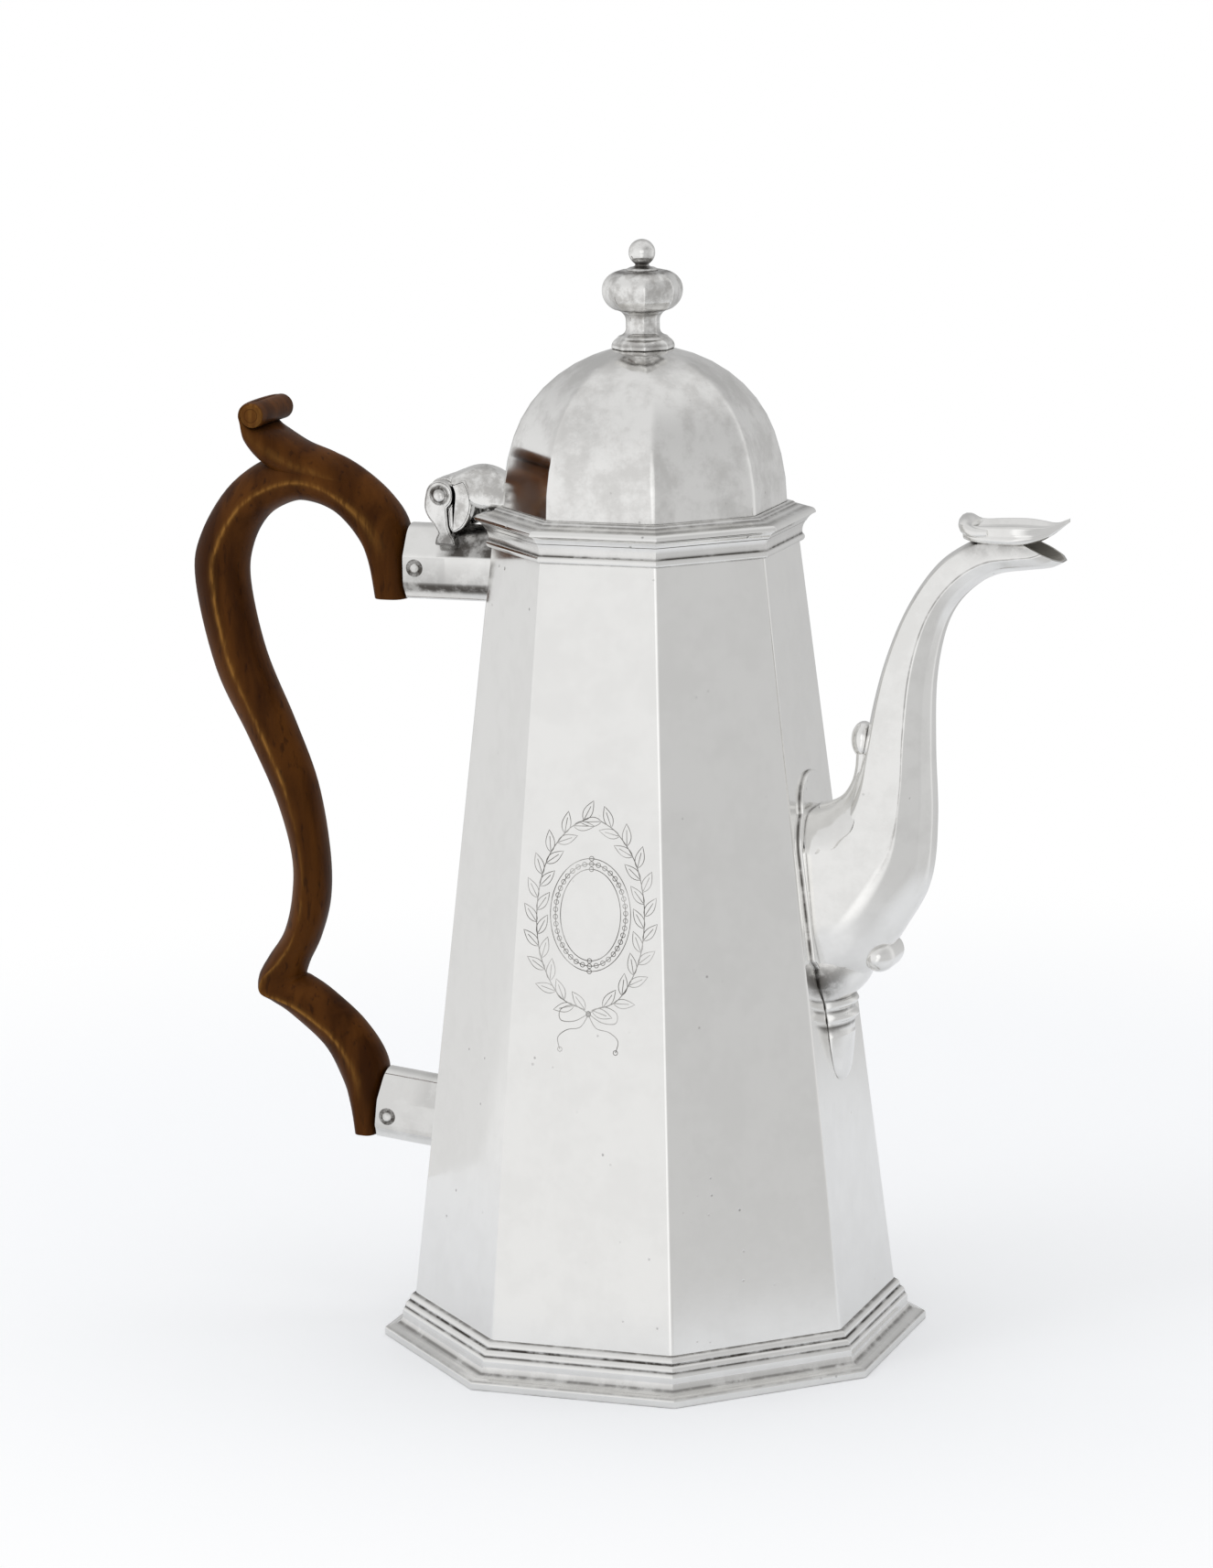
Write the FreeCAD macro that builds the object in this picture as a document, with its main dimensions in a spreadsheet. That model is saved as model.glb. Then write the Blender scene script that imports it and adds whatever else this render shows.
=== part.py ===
import FreeCAD, Part
import math
import os
import types

import Sketcher

# Octagonal silver coffee pot with a hinged domed lid and a wooden handle.
# Millimetres. The origin is the middle of the foot on the table, +Z is up,
# the spout points to +X, the handle to -X, and the hinge pin lies along Y.

V = FreeCAD.Vector
doc = FreeCAD.newDocument("coffee_pot")

# Driving dimensions. An apothem is the distance from the pot's axis to a facet.
DIMENSIONS = {
    # body
    "facets": 8,
    "wall_slope": 0.10987,
    "wall_thickness": 1.0,
    "wall_bottom": 5.2,
    "mouth_height": 179.4,
    "bottom_thickness": 1.2,
    "throat_radius": 8.0,
    "throat_height": 99.0,
    # foot
    "foot_apothem": 55.43,
    "foot_edge": 1.3,
    "foot_lip": 0.7,
    "foot_rim_width": 2.2,
    "foot_seat": 5.8,
    "foot_top": 9.5,
    "foot_top_apothem": 49.04,
    "step_apothem": 51.69,
    "hollow_width": 2.15,
    "hollow_bottom": 2.3,
    "hollow_height": 2.1,
    "step_top": 5.2,
    "reed_low_apothem": 51.18,
    "reed_low": 6.3,
    "reed_mid_apothem": 50.17,
    "reed_mid": 7.75,
    # rim of the mouth
    "rim_apothem": 31.95,
    "rim_neck_apothem": 31.35,
    "rim_neck": 176.85,
    "rim_bottom": 175.2,
    # lid
    "lid_gap": 0.1,
    "flange_apothem": 34.05,
    "flange_nose": 181.3,
    "flange_seat_apothem": 32.1,
    "flange_shoulder_apothem": 32.9,
    "flange_shoulder": 182.5,
    "flange_bead_apothem": 30.1,
    "flange_bead": 183.2,
    "bezel_apothem": 28.6,
    "bezel_thickness": 0.9,
    "bezel_bottom": 174.6,
    "bezel_top": 183.0,
    "dome_apothem": 28.5,
    "dome_base": 183.9,
    "dome_height": 34.3,
    "dome_side_radius": 50.0,
    "dome_thickness": 0.9,
    "dome_hole": 2.6,
    # finial
    "finial_bore": 1.5,
    "rod_radius": 1.4,
    "finial_foot": 6.3,
    "finial_foot_top": 218.4,
    "finial_ledge": 5.45,
    "finial_ledge_height": 220.4,
    "finial_neck": 3.45,
    "finial_neck_low": 222.0,
    "finial_neck_high": 223.2,
    "finial_collar": 5.7,
    "finial_collar_height": 226.2,
    "finial_bulb": 8.1,
    "finial_bulb_height": 229.9,
    "finial_top": 3.4,
    "finial_top_height": 234.2,
    "knop_ring": 2.6,
    "knop_ring_height": 0.9,
    "knop_stem": 1.5,
    "ball_radius": 2.85,
    "ball_height": 238.0,
    "rod_bottom": 211.5,
    "nut_radius": 4.2,
    "nut_thickness": 3.0,
    "nut_top": 216.7,
    # hinge
    "pin_x": -44.65,
    "pin_z": 185.2,
    "pin_radius": 1.5,
    "pin_play": 0.05,
    "pin_length": 15.2,
    "knuckle_radius": 3.6,
    "hinge_width": 14.4,
    "ear_thickness": 2.5,
    "ear_play": 0.3,
    "leaf_end": -28.0,
    "hood_spring": 0.8,
    "hood_rise": 5.3,
    # handle sockets
    "socket_half_width": 6.7,
    "socket_wall": 0.9,
    "upper_socket_top": 178.0,
    "upper_socket_bottom": 161.8,
    "upper_socket_end": -53.8,
    "lower_socket_height": 15.2,
    "lower_socket_length": 17.9,
    "lower_socket_z": 45.45,
    "tenon_length": 12.0,
    "cross_pin_radius": 1.1,
    "cross_pin_length": 14.0,
    "cross_pin_inset": 2.8,
    "cross_pin_drop": 2.0,
    "cheek_thickness": 4.6,
    "tenon_lap": 1.0,
    # spout
    "spout_wall": 1.3,
    "lip_wall": 0.6,
    "plate_thickness": 0.9,
    "front_scroll_radius": 2.75,
    "front_scroll_length": 10.8,
    "front_scroll_x": 54.6,
    "front_scroll_z": 86.6,
    "leaf_scroll_radius": 2.35,
    "leaf_scroll_length": 6.2,
    "leaf_scroll_x": 47.8,
    "leaf_scroll_z": 134.9,
    "heel_radius": 1.7,
    "heel_length": 9.4,
    "heel_x": 72.9,
    "heel_z": 183.3,
    # thumb scroll of the handle
    "roll_radius": 2.9,
    "roll_length": 18.6,
    "roll_x": -87.8,
    "roll_z": 201.5,
}

sheet = doc.addObject("Spreadsheet::Sheet", "dims")
for row, (alias, value) in enumerate(DIMENSIONS.items(), start=1):
    sheet.set("A%d" % row, alias)
    sheet.set("B%d" % row, str(value))
    sheet.setAlias("B%d" % row, alias)
doc.recompute()


class Size:
    """A number worked out from the sheet, which keeps the formula it came from."""

    def __init__(self, value, formula):
        self.value = float(value)
        self.formula = formula

    def __add__(self, other):
        return Size(self.value + number(other), "(%s + %s)" % (self.formula, formula(other)))

    def __sub__(self, other):
        return Size(self.value - number(other), "(%s - %s)" % (self.formula, formula(other)))

    def __mul__(self, other):
        return Size(self.value * number(other), "(%s * %s)" % (self.formula, formula(other)))

    def __neg__(self):
        return self * -1


def number(size):
    return size.value if isinstance(size, Size) else float(size)


def formula(size):
    return size.formula if isinstance(size, Size) else repr(float(size))


d = types.SimpleNamespace(**{a: Size(sheet.get(a), "dims." + a) for a in DIMENSIONS})


def bind(thing, **sizes):
    """Sets properties of a document object and binds each to its sheet formula."""
    for prop, size in sizes.items():
        setattr(thing, prop, number(size))
        if isinstance(size, Size):
            thing.setExpression(prop, size.formula)


def wall_apothem(height):
    """Apothem of the wall's outer face at a height."""
    return d.foot_top_apothem - (Size(number(height), formula(height)) - d.foot_top) * d.wall_slope


taper = math.atan(number(d.wall_slope))
wall_across = d.wall_thickness * (1 / math.cos(taper))


# Outlines
# An outline is a list of corners (x, y) or (x, y, bulge), run counter-clockwise.
# The bulge is the tangent of a quarter of the turn of the arc to the next corner:
# positive swells outwards, negative is hollow.

QUARTER = math.tan(math.pi / 8)
HALF = 1.0
FULL_BEAD = HALF * 0.8

# Four corners that enclose less than this many cubic millimetres lie in one plane.
FLAT = 1e-6


def bulge_for(start, end, radius):
    """Bulge of an arc of a known radius between two corners."""
    chord = math.hypot(number(end[0]) - number(start[0]), number(end[1]) - number(start[1]))
    return math.tan(math.asin(chord / (2 * number(radius))) / 2)


def origin_plane(body, role):
    return [f for f in body.Origin.OriginFeatures if f.Role == role][0]


def draw(body, name, role, outlines, offset=None):
    """A sketch of closed outlines on an origin plane, with each corner bound to its formula."""
    sketch = body.newObject("Sketcher::SketchObject", name)
    sketch.AttachmentSupport = [(origin_plane(body, role), "")]
    sketch.MapMode = "FlatFace"
    if offset is not None:
        sketch.AttachmentOffset = offset
    for outline in outlines:
        first = sketch.GeometryCount
        ends = []
        for here, after in zip(outline, outline[1:] + outline[:1]):
            start = V(number(here[0]), number(here[1]), 0)
            end = V(number(after[0]), number(after[1]), 0)
            bulge = here[2] if len(here) > 2 else 0
            half = (end - start) * 0.5
            middle = start + half + V(half.y, -half.x, 0) * bulge
            if bulge == 0:
                sketch.addGeometry(Part.LineSegment(start, end), False)
            elif bulge > 0:
                sketch.addGeometry(Part.Arc(start, middle, end), False)
            else:
                sketch.addGeometry(Part.Arc(end, middle, start), False)
            ends.append((1, 2) if bulge >= 0 else (2, 1))
        count = len(outline)
        for i, corner in enumerate(outline):
            following = (i + 1) % count
            sketch.addConstraint(Sketcher.Constraint(
                "Coincident", first + i, ends[i][1], first + following, ends[following][0]))
            for kind, size in zip(("DistanceX", "DistanceY"), corner):
                index = sketch.addConstraint(Sketcher.Constraint(
                    kind, -1, 1, first + i, ends[i][0], number(size)))
                if isinstance(size, Size):
                    sketch.setExpression("Constraints[%d]" % index, size.formula)
    return sketch


def new_body(label, placement=None):
    body = doc.addObject("PartDesign::Body", label)
    body.Label = label
    if placement is not None:
        body.Placement = placement
    return body


def pad(body, sketch, length, symmetric=True):
    feature = body.newObject("PartDesign::Pad", sketch.Name + "_pad")
    feature.Profile = sketch
    bind(feature, Length=length)
    if symmetric:
        feature.SideType = "Symmetric"
    doc.recompute()
    return feature


MITRE_MARGIN = 1.1


def eight_sided(label, outline):
    """A mitred octagonal ring: one facet's strip, cut to its wedge and repeated round the axis.
    The outline's x is the apothem."""
    body = new_body(label)
    strip = pad(body, draw(body, label + "_section", "XZ_Plane", [outline]), d.foot_apothem * 2)
    wide = d.foot_apothem * MITRE_MARGIN
    mitre = wide * math.tan(math.pi / number(d.facets))
    waste = [
        [(0, 0), (wide, mitre), (wide, wide * 2), (0, wide * 2)],
        [(0, 0), (0, wide * -2), (wide, wide * -2), (wide, -mitre)],
    ]
    trim = body.newObject("PartDesign::Pocket", label + "_mitre")
    trim.Profile = draw(body, label + "_waste", "XY_Plane", waste)
    trim.Type = "ThroughAll"
    trim.SideType = "Symmetric"
    doc.recompute()
    if not 0 < trim.Shape.Volume < strip.Shape.Volume:
        raise RuntimeError("the mitre of %s cuts nothing" % label)
    ring = body.newObject("PartDesign::PolarPattern", label + "_ring")
    ring.TransformMode = "Whole shape"
    ring.Axis = (origin_plane(body, "Z_Axis"), [""])
    ring.Angle = 360
    ring.Occurrences = int(number(d.facets))
    body.Tip = ring
    doc.recompute()
    return body


def round_bar(label, radius, length, x, z, middle=0):
    """A round bar along Y, centred on the plane of the spout and the handle unless told."""
    bar = doc.addObject("Part::Cylinder", label)
    bar.Label = label
    bind(bar, Radius=radius, Height=length)
    bar.Placement.Rotation = FreeCAD.Rotation(V(1, 0, 0), -90)
    bind_place(bar, x, middle - number(length) / 2, z)
    return bar


def bind_place(thing, x, y, z):
    thing.Placement.Base = V(number(x), number(y), number(z))
    for axis, size in zip("xyz", (x, y, z)):
        if isinstance(size, Size):
            thing.setExpression("Placement.Base." + axis, size.formula)


def cut(label, base, *tools):
    """The base less each of the tools."""
    for i, tool in enumerate(tools):
        last = i == len(tools) - 1
        result = doc.addObject("Part::Cut", label if last else "%s_cut_%d" % (label, i + 1))
        result.Base = base
        result.Tool = tool
        base = result
    base.Label = label
    doc.recompute()
    return base


def fuse(label, *things):
    result = doc.addObject("Part::MultiFuse", label)
    result.Shapes = list(things)
    result.Label = label
    doc.recompute()
    return result


def stations_in_plane(stations, corners, inset=None):
    """Sections square to the plane of the spout and the handle. A station is (near point,
    far point, half width); a corner is (u, v), with u from -1 at the near point to 1 at the far."""
    rows = []
    for i, (near, far, half_width) in enumerate(stations):
        thin = inset[i] if inset else 0.0
        near_point = V(near[0], 0, near[1])
        far_point = V(far[0], 0, far[1])
        across = far_point - near_point
        middle = (near_point + far_point) * 0.5
        along = across * ((across.Length / 2 - thin) / across.Length)
        rows.append([middle + along * u + V(0, (half_width - thin) * v, 0) for u, v in corners])
    return rows


def facet(*points):
    return Part.Face(Part.makePolygon([*points, points[0]]))


def skin(label, rows, placement=None):
    """A solid lofted through a row of sections with flat facets. Each section has its corners in
    the same order and is its own mirror image across Y; a twisted strip is halved along the
    diagonal that keeps the solid symmetrical."""
    faces = [facet(*rows[0]), facet(*rows[-1])]
    for row, following in zip(rows, rows[1:]):
        for k in range(len(row)):
            a, b = row[k - 1], row[k]
            c, e = following[k], following[k - 1]
            twist = abs((b - a).cross(e - a).dot(c - a))
            if twist < FLAT:
                faces.append(facet(a, b, c, e))
            elif a.y + b.y + c.y + e.y > 0:
                faces.extend([facet(a, b, c), facet(a, c, e)])
            else:
                faces.extend([facet(a, b, e), facet(b, c, e)])
    solid = Part.Solid(Part.Shell(faces))
    if solid.Volume < 0:
        solid.reverse()
    thing = doc.addObject("Part::Feature", label)
    thing.Label = label
    thing.Shape = solid
    if placement is not None:
        thing.Placement = placement
    return thing


def mirrored(half_corners):
    """Closes a half section, given from the far side to the near side at v > 0."""
    return [(u, v) for u, v in half_corners] + [(u, -v) for u, v in reversed(half_corners)]


def mirrored_across(half_corners):
    """Closes a half section of (across, height) corners, given at positive across."""
    return list(half_corners) + [(-across, height) for across, height in reversed(half_corners)]


# Foot, wall and base

foot_inner = d.foot_apothem - d.foot_rim_width
foot_moulding = eight_sided("foot_moulding", [
    (foot_inner, 0),
    (d.foot_apothem, 0),
    (d.foot_apothem, d.foot_edge, QUARTER),
    (d.foot_apothem - d.foot_lip, d.foot_edge + d.foot_lip),
    (d.step_apothem + d.hollow_width, d.hollow_bottom, -QUARTER),
    (d.step_apothem, d.hollow_bottom + d.hollow_height),
    (d.step_apothem, d.step_top, QUARTER / 2),
    (d.reed_low_apothem, d.reed_low, QUARTER),
    (d.reed_mid_apothem, d.reed_mid, QUARTER),
    (wall_apothem(d.foot_top), d.foot_top),
    (wall_apothem(d.foot_seat), d.foot_seat),
    (foot_inner, d.foot_edge),
])

wall_shell = eight_sided("wall_shell", [
    (wall_apothem(d.wall_bottom) - wall_across, d.wall_bottom),
    (wall_apothem(d.wall_bottom), d.wall_bottom),
    (wall_apothem(d.mouth_height), d.mouth_height),
    (wall_apothem(d.mouth_height) - wall_across, d.mouth_height),
])


def facet_frame(height):
    """Frame on the spout's facet: X across it, Y up it, Z straight out of it."""
    up = V(-math.sin(taper), 0, math.cos(taper))
    out = V(math.cos(taper), 0, math.sin(taper))
    return FreeCAD.Placement(V(number(wall_apothem(height)), 0, number(height)),
                             FreeCAD.Rotation(V(0, 1, 0), up, out, "ZXY"))


throat = doc.addObject("Part::Cylinder", "throat")
bind(throat, Radius=d.throat_radius, Height=d.throat_radius)
throat.Placement = facet_frame(d.throat_height).multiply(
    FreeCAD.Placement(V(0, 0, -number(d.throat_radius) / 2), FreeCAD.Rotation()))
body_wall = cut("body_wall", wall_shell, throat)

bottom_form = new_body("bottom_plate")
bottom_rim = wall_apothem(d.wall_bottom) - wall_across
bottom_corners = []
for k in range(int(number(d.facets))):
    angle = math.pi / number(d.facets) * (2 * k + 1)
    reach = bottom_rim * (1 / math.cos(math.pi / number(d.facets)))
    bottom_corners.append((reach * math.cos(angle), reach * math.sin(angle)))
bottom_place = FreeCAD.Placement(V(0, 0, number(d.wall_bottom)), FreeCAD.Rotation())
bottom_pad = pad(bottom_form, draw(bottom_form, "bottom_outline", "XY_Plane", [bottom_corners],
                                   bottom_place), d.bottom_thickness, symmetric=False)
bottom_pad.TaperAngle = -math.degrees(taper)
bottom_plate = bottom_form

rim_moulding = eight_sided("rim_moulding", [
    (wall_apothem(d.rim_bottom), d.rim_bottom, FULL_BEAD),
    (d.rim_neck_apothem, d.rim_neck, -QUARTER / 2),
    (d.rim_apothem, d.mouth_height),
    (wall_apothem(d.mouth_height), d.mouth_height),
])

# Lid

lid_seat = d.mouth_height + d.lid_gap
dome_inner = d.dome_apothem - d.dome_thickness
lid_rim = eight_sided("lid_rim", [
    (d.bezel_apothem, lid_seat),
    (d.flange_seat_apothem, lid_seat, -QUARTER / 2),
    (d.flange_apothem, d.flange_nose, QUARTER),
    (d.flange_shoulder_apothem, d.flange_shoulder, -QUARTER / 4),
    (d.flange_bead_apothem, d.flange_bead, QUARTER),
    (d.dome_apothem, d.dome_base),
    (dome_inner, d.dome_base),
    (dome_inner, d.bezel_top),
    (d.bezel_apothem, d.bezel_top),
])

lid_bezel = eight_sided("lid_bezel", [
    (d.bezel_apothem - d.bezel_thickness, d.bezel_bottom),
    (d.bezel_apothem, d.bezel_bottom),
    (d.bezel_apothem, d.bezel_top),
    (d.bezel_apothem - d.bezel_thickness, d.bezel_top),
])

# The dome's facet is a pointed oval of two tangent arcs: the side arc's centre lies past the
# axis at the height of the base, and the crown arc's centre lies on the axis.
side_centre = number(d.dome_apothem) - number(d.dome_side_radius)
side_rise = number(d.dome_side_radius) ** 2 - side_centre ** 2 - number(d.dome_height) ** 2
crown_radius = side_rise / (2 * (number(d.dome_side_radius) - number(d.dome_height)))
crown_centre = number(d.dome_base) + number(d.dome_height) - crown_radius
lean = math.atan2(crown_centre - number(d.dome_base), -side_centre)


def dome_curve(inset):
    """Corners of one dome surface from base to hole: base, tangent point, hole."""
    side = number(d.dome_side_radius) - inset
    crown = crown_radius - inset
    base = (number(d.dome_apothem) - inset, number(d.dome_base))
    joint = (side_centre + side * math.cos(lean), number(d.dome_base) + side * math.sin(lean))
    hole = (number(d.dome_hole), crown_centre + math.sqrt(crown ** 2 - number(d.dome_hole) ** 2))
    return [(base, side), (joint, crown), (hole, 0)]


def dome_height_at(apothem):
    return crown_centre + math.sqrt(crown_radius ** 2 - number(apothem) ** 2)


outer_dome = dome_curve(0.0)
inner_dome = dome_curve(number(d.dome_thickness))
dome_outline = []
for (start, radius), (end, _) in zip(outer_dome, outer_dome[1:]):
    dome_outline.append((*start, bulge_for(start, end, radius)))
dome_outline.append(outer_dome[2][0])
for (start, radius), (end, _) in zip(inner_dome[:0:-1], inner_dome[-2::-1]):
    turning = inner_dome[1][1] if start == inner_dome[2][0] else inner_dome[0][1]
    dome_outline.append((*start, -bulge_for(start, end, turning)))
dome_outline.append(inner_dome[0][0])
lid_dome = eight_sided("lid_dome", dome_outline)

# Finial

foot_on_dome = dome_height_at(d.finial_foot)
bore_on_dome = dome_height_at(d.finial_bore)
seat_bulge = bulge_for((d.finial_bore, bore_on_dome), (d.finial_foot, foot_on_dome), crown_radius)
finial_baluster = eight_sided("finial_baluster", [
    (d.finial_bore, bore_on_dome, -seat_bulge),
    (d.finial_foot, foot_on_dome),
    (d.finial_foot, d.finial_foot_top),
    (d.finial_ledge, d.finial_ledge_height, -QUARTER),
    (d.finial_neck, d.finial_neck_low),
    (d.finial_neck, d.finial_neck_high, -QUARTER),
    (d.finial_collar, d.finial_collar_height, QUARTER),
    (d.finial_bulb, d.finial_bulb_height, QUARTER),
    (d.finial_top, d.finial_top_height),
    (d.finial_bore, d.finial_top_height),
])

knop_form = new_body("finial_knop")
ring_top = d.finial_top_height + d.knop_ring_height
ball_low = number(d.ball_height) - math.sqrt(number(d.ball_radius) ** 2 - number(d.knop_stem) ** 2)
ball_turn = math.pi - math.asin(number(d.knop_stem) / number(d.ball_radius))
knop_sketch = draw(knop_form, "knop_outline", "XZ_Plane", [[
    (0, d.rod_bottom),
    (d.rod_radius, d.rod_bottom),
    (d.rod_radius, d.finial_top_height),
    (d.knop_ring, d.finial_top_height),
    (d.knop_stem, ring_top),
    (d.knop_stem, ball_low, math.tan(ball_turn / 4)),
    (0, d.ball_height + d.ball_radius),
]])
knop_turned = knop_form.newObject("PartDesign::Revolution", "knop_turned")
knop_turned.Profile = knop_sketch
knop_turned.ReferenceAxis = (knop_sketch, ["V_Axis"])
knop_turned.Angle = 360
doc.recompute()
finial_knop = knop_form

nut_blank = doc.addObject("Part::Prism", "nut_blank")
nut_blank.Polygon = 6
bind(nut_blank, Circumradius=d.nut_radius, Height=d.nut_thickness)
bind_place(nut_blank, 0, 0, d.nut_top - d.nut_thickness)
finial_nut = cut("finial_nut", nut_blank, finial_knop)

# Handle sockets: a crowned top, upright cheeks and a narrower flat underneath.
# Widths are shares of the half width, and depths below the top are shares of the height.

CROWN_WIDTH = 0.55
SOLE_WIDTH = 0.7
SHOULDER_DEPTH = 0.086
CHEEK_DEPTHS = (0.40, 0.80)
CROWN_BULGE = QUARTER * 0.9


def socket_outline(half_width, top, bottom, crowned=True):
    """Section of a socket as (across, height) corners."""
    tall = top - bottom
    shoulder = top - tall * SHOULDER_DEPTH
    crown = half_width * CROWN_WIDTH
    sole = half_width * SOLE_WIDTH
    upper = top - tall * CHEEK_DEPTHS[0]
    lower = top - tall * CHEEK_DEPTHS[1]
    return [
        (-sole, bottom),
        (sole, bottom),
        (half_width, lower),
        (half_width, upper),
        (crown, shoulder, CROWN_BULGE if crowned else 0),
        (-crown, shoulder),
        (-half_width, upper),
        (-half_width, lower),
    ]


def along_x(start):
    """Offset that stands a sketch of the YZ plane at a distance along X."""
    return FreeCAD.Placement(V(0, 0, number(start)), FreeCAD.Rotation())


socket_bore = d.socket_half_width - d.socket_wall
upper_outer = socket_outline(d.socket_half_width, d.upper_socket_top, d.upper_socket_bottom)
upper_inner = socket_outline(socket_bore, d.upper_socket_top - d.socket_wall,
                             d.upper_socket_bottom + d.socket_wall, crowned=False)
upper_length = -(d.upper_socket_end + d.bezel_apothem)

# The side of the wall that the sockets meet, as a slab inside it
wall_side = doc.addObject("Part::Box", "wall_side")
bind(wall_side, Length=d.foot_apothem, Width=d.foot_apothem, Height=d.mouth_height)
tilted = FreeCAD.Rotation(V(0, 1, 0), math.degrees(taper))
wall_foot = V(-number(wall_apothem(d.foot_top)), 0, number(d.foot_top))
wall_side.Placement = FreeCAD.Placement(wall_foot, tilted).multiply(
    FreeCAD.Placement(V(0, -number(d.foot_apothem) / 2, 0), FreeCAD.Rotation()))


def socket_bar(label, outline, start, length, placement=None):
    """A solid bar of a socket's section along its own X axis."""
    body = new_body(label, placement)
    pad(body, draw(body, label + "_section", "YZ_Plane", [outline], along_x(start)), length,
        symmetric=False)
    return body


upper_solid = socket_bar("upper_socket_solid", upper_outer, d.upper_socket_end, upper_length)
upper_hollow = socket_bar("upper_socket_hollow", upper_inner, d.upper_socket_end, upper_length)
upper_pin = round_bar("upper_socket_pin", d.cross_pin_radius, d.cross_pin_length,
                      d.upper_socket_end + d.cross_pin_inset,
                      (d.upper_socket_top + d.upper_socket_bottom - d.cross_pin_drop) * 0.5)
upper_socket = cut("upper_socket", upper_solid, upper_hollow, wall_side, upper_pin, rim_moulding)

lower_frame = FreeCAD.Placement(
    V(-number(wall_apothem(d.lower_socket_z)), 0, number(d.lower_socket_z)), tilted)
lower_top = d.lower_socket_height * 0.5
lower_outer = socket_outline(d.socket_half_width, lower_top, -lower_top)
lower_inner = socket_outline(socket_bore, lower_top - d.socket_wall, d.socket_wall - lower_top,
                             crowned=False)
lower_solid = socket_bar("lower_socket_solid", lower_outer, -d.lower_socket_length,
                         d.lower_socket_length, lower_frame)
lower_hollow = socket_bar("lower_socket_hollow", lower_inner, -d.lower_socket_length,
                          d.lower_socket_length, lower_frame)
pin_in_frame = lower_frame.multVec(
    V(number(d.cross_pin_inset - d.lower_socket_length), 0, -number(d.cross_pin_drop)))
lower_pin = round_bar("lower_socket_pin", d.cross_pin_radius, d.cross_pin_length,
                      pin_in_frame.x, pin_in_frame.z)
lower_socket = cut("lower_socket", lower_solid, lower_hollow, lower_pin)

# Wooden handle: two carved limbs that meet at the knee, a thumb scroll and two tenons.
# A station is (point on the hand's side, point on the outside, half width).

WOOD_CORNERS = mirrored([(1.0, 0.35), (0.72, 0.8), (-0.05, 1.0), (-0.8, 0.62), (-1.0, 0.25)])

UPPER_LIMB = [
    ((-61.9, 161.6), (-53.8, 161.6), 6.4),
    ((-63.3, 169.4), (-53.8, 170.0), 6.7),
    ((-66.0, 174.5), (-56.0, 180.0), 6.8),
    ((-70.8, 179.3), (-63.1, 187.8), 6.8),
    ((-76.3, 181.6), (-73.2, 193.1), 6.8),
    ((-81.7, 181.6), (-84.0, 192.5), 6.8),
    ((-88.1, 178.0), (-95.7, 185.7), 6.9),
    ((-92.0, 171.4), (-103.7, 173.8), 7.0),
    ((-92.9, 163.0), (-105.5, 163.0), 7.0),
    ((-89.6, 147.8), (-100.9, 143.6), 6.9),
    ((-83.2, 132.5), (-93.5, 128.5), 6.7),
    ((-78.1, 118.5), (-87.2, 114.7), 6.5),
    ((-75.7, 103.3), (-83.8, 102.5), 6.4),
    ((-75.7, 92.1), (-84.0, 93.3), 6.3),
    ((-78.1, 83.5), (-86.1, 84.9), 6.3),
    ((-81.7, 75.0), (-91.9, 74.3), 6.4),
]

LOWER_LIMB = [
    UPPER_LIMB[-1],
    ((-77.0, 70.2), (-85.8, 66.6), 6.4),
    ((-69.2, 63.3), (-76.8, 59.2), 6.4),
    ((-63.5, 56.1), (-72.8, 52.2), 6.5),
    ((-63.2, 47.4), (-70.6, 46.7), 6.5),
    ((-64.0, 40.0), (-69.5, 40.2), 6.0),
]

THUMB_RIBBON = [
    ((-72.0, 184.0), (-67.5, 189.4), 5.6),
    ((-82.0, 187.0), (-77.0, 194.0), 6.4),
    ((-90.0, 192.6), (-83.8, 196.4), 7.4),
    ((-91.6, 198.0), (-86.4, 199.8), 9.0),
]

RIBBON_CORNERS = mirrored([(1.0, 0.7), (0.5, 1.0), (-0.5, 1.0), (-1.0, 0.7)])

upper_limb = skin("upper_limb", stations_in_plane(UPPER_LIMB, WOOD_CORNERS))
lower_limb = skin("lower_limb", stations_in_plane(LOWER_LIMB, WOOD_CORNERS))
thumb_ribbon = skin("thumb_ribbon", stations_in_plane(THUMB_RIBBON, RIBBON_CORNERS))
thumb_roll = round_bar("thumb_roll", d.roll_radius, d.roll_length, d.roll_x, d.roll_z)
tenon_bar = d.tenon_length + d.tenon_lap
upper_cheek = socket_bar("upper_cheek", upper_outer, d.upper_socket_end - d.cheek_thickness,
                         d.cheek_thickness)
upper_tenon = socket_bar("upper_tenon", upper_inner, d.upper_socket_end - d.tenon_lap, tenon_bar)
lower_cheek = socket_bar("lower_cheek", lower_outer, -d.lower_socket_length - d.cheek_thickness,
                         d.cheek_thickness, lower_frame)
lower_tenon = socket_bar("lower_tenon", lower_inner, -d.lower_socket_length - d.tenon_lap,
                         tenon_bar, lower_frame)
handle_fused = fuse("handle_fused", upper_limb, lower_limb, thumb_ribbon, thumb_roll, upper_cheek,
                    upper_tenon, lower_cheek, lower_tenon)
handle = cut("handle", handle_fused, upper_socket, lower_socket, upper_pin, lower_pin)

# Hinge: two ears on a saddle, a hooded leaf with the middle knuckle, and the pin

hinge_pin = round_bar("hinge_pin", d.pin_radius, d.pin_length, d.pin_x, d.pin_z)


def at_pin(dx, dz, *bulge):
    """A corner placed from the hinge pin."""
    return (d.pin_x + dx, d.pin_z + dz, *bulge)


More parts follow.
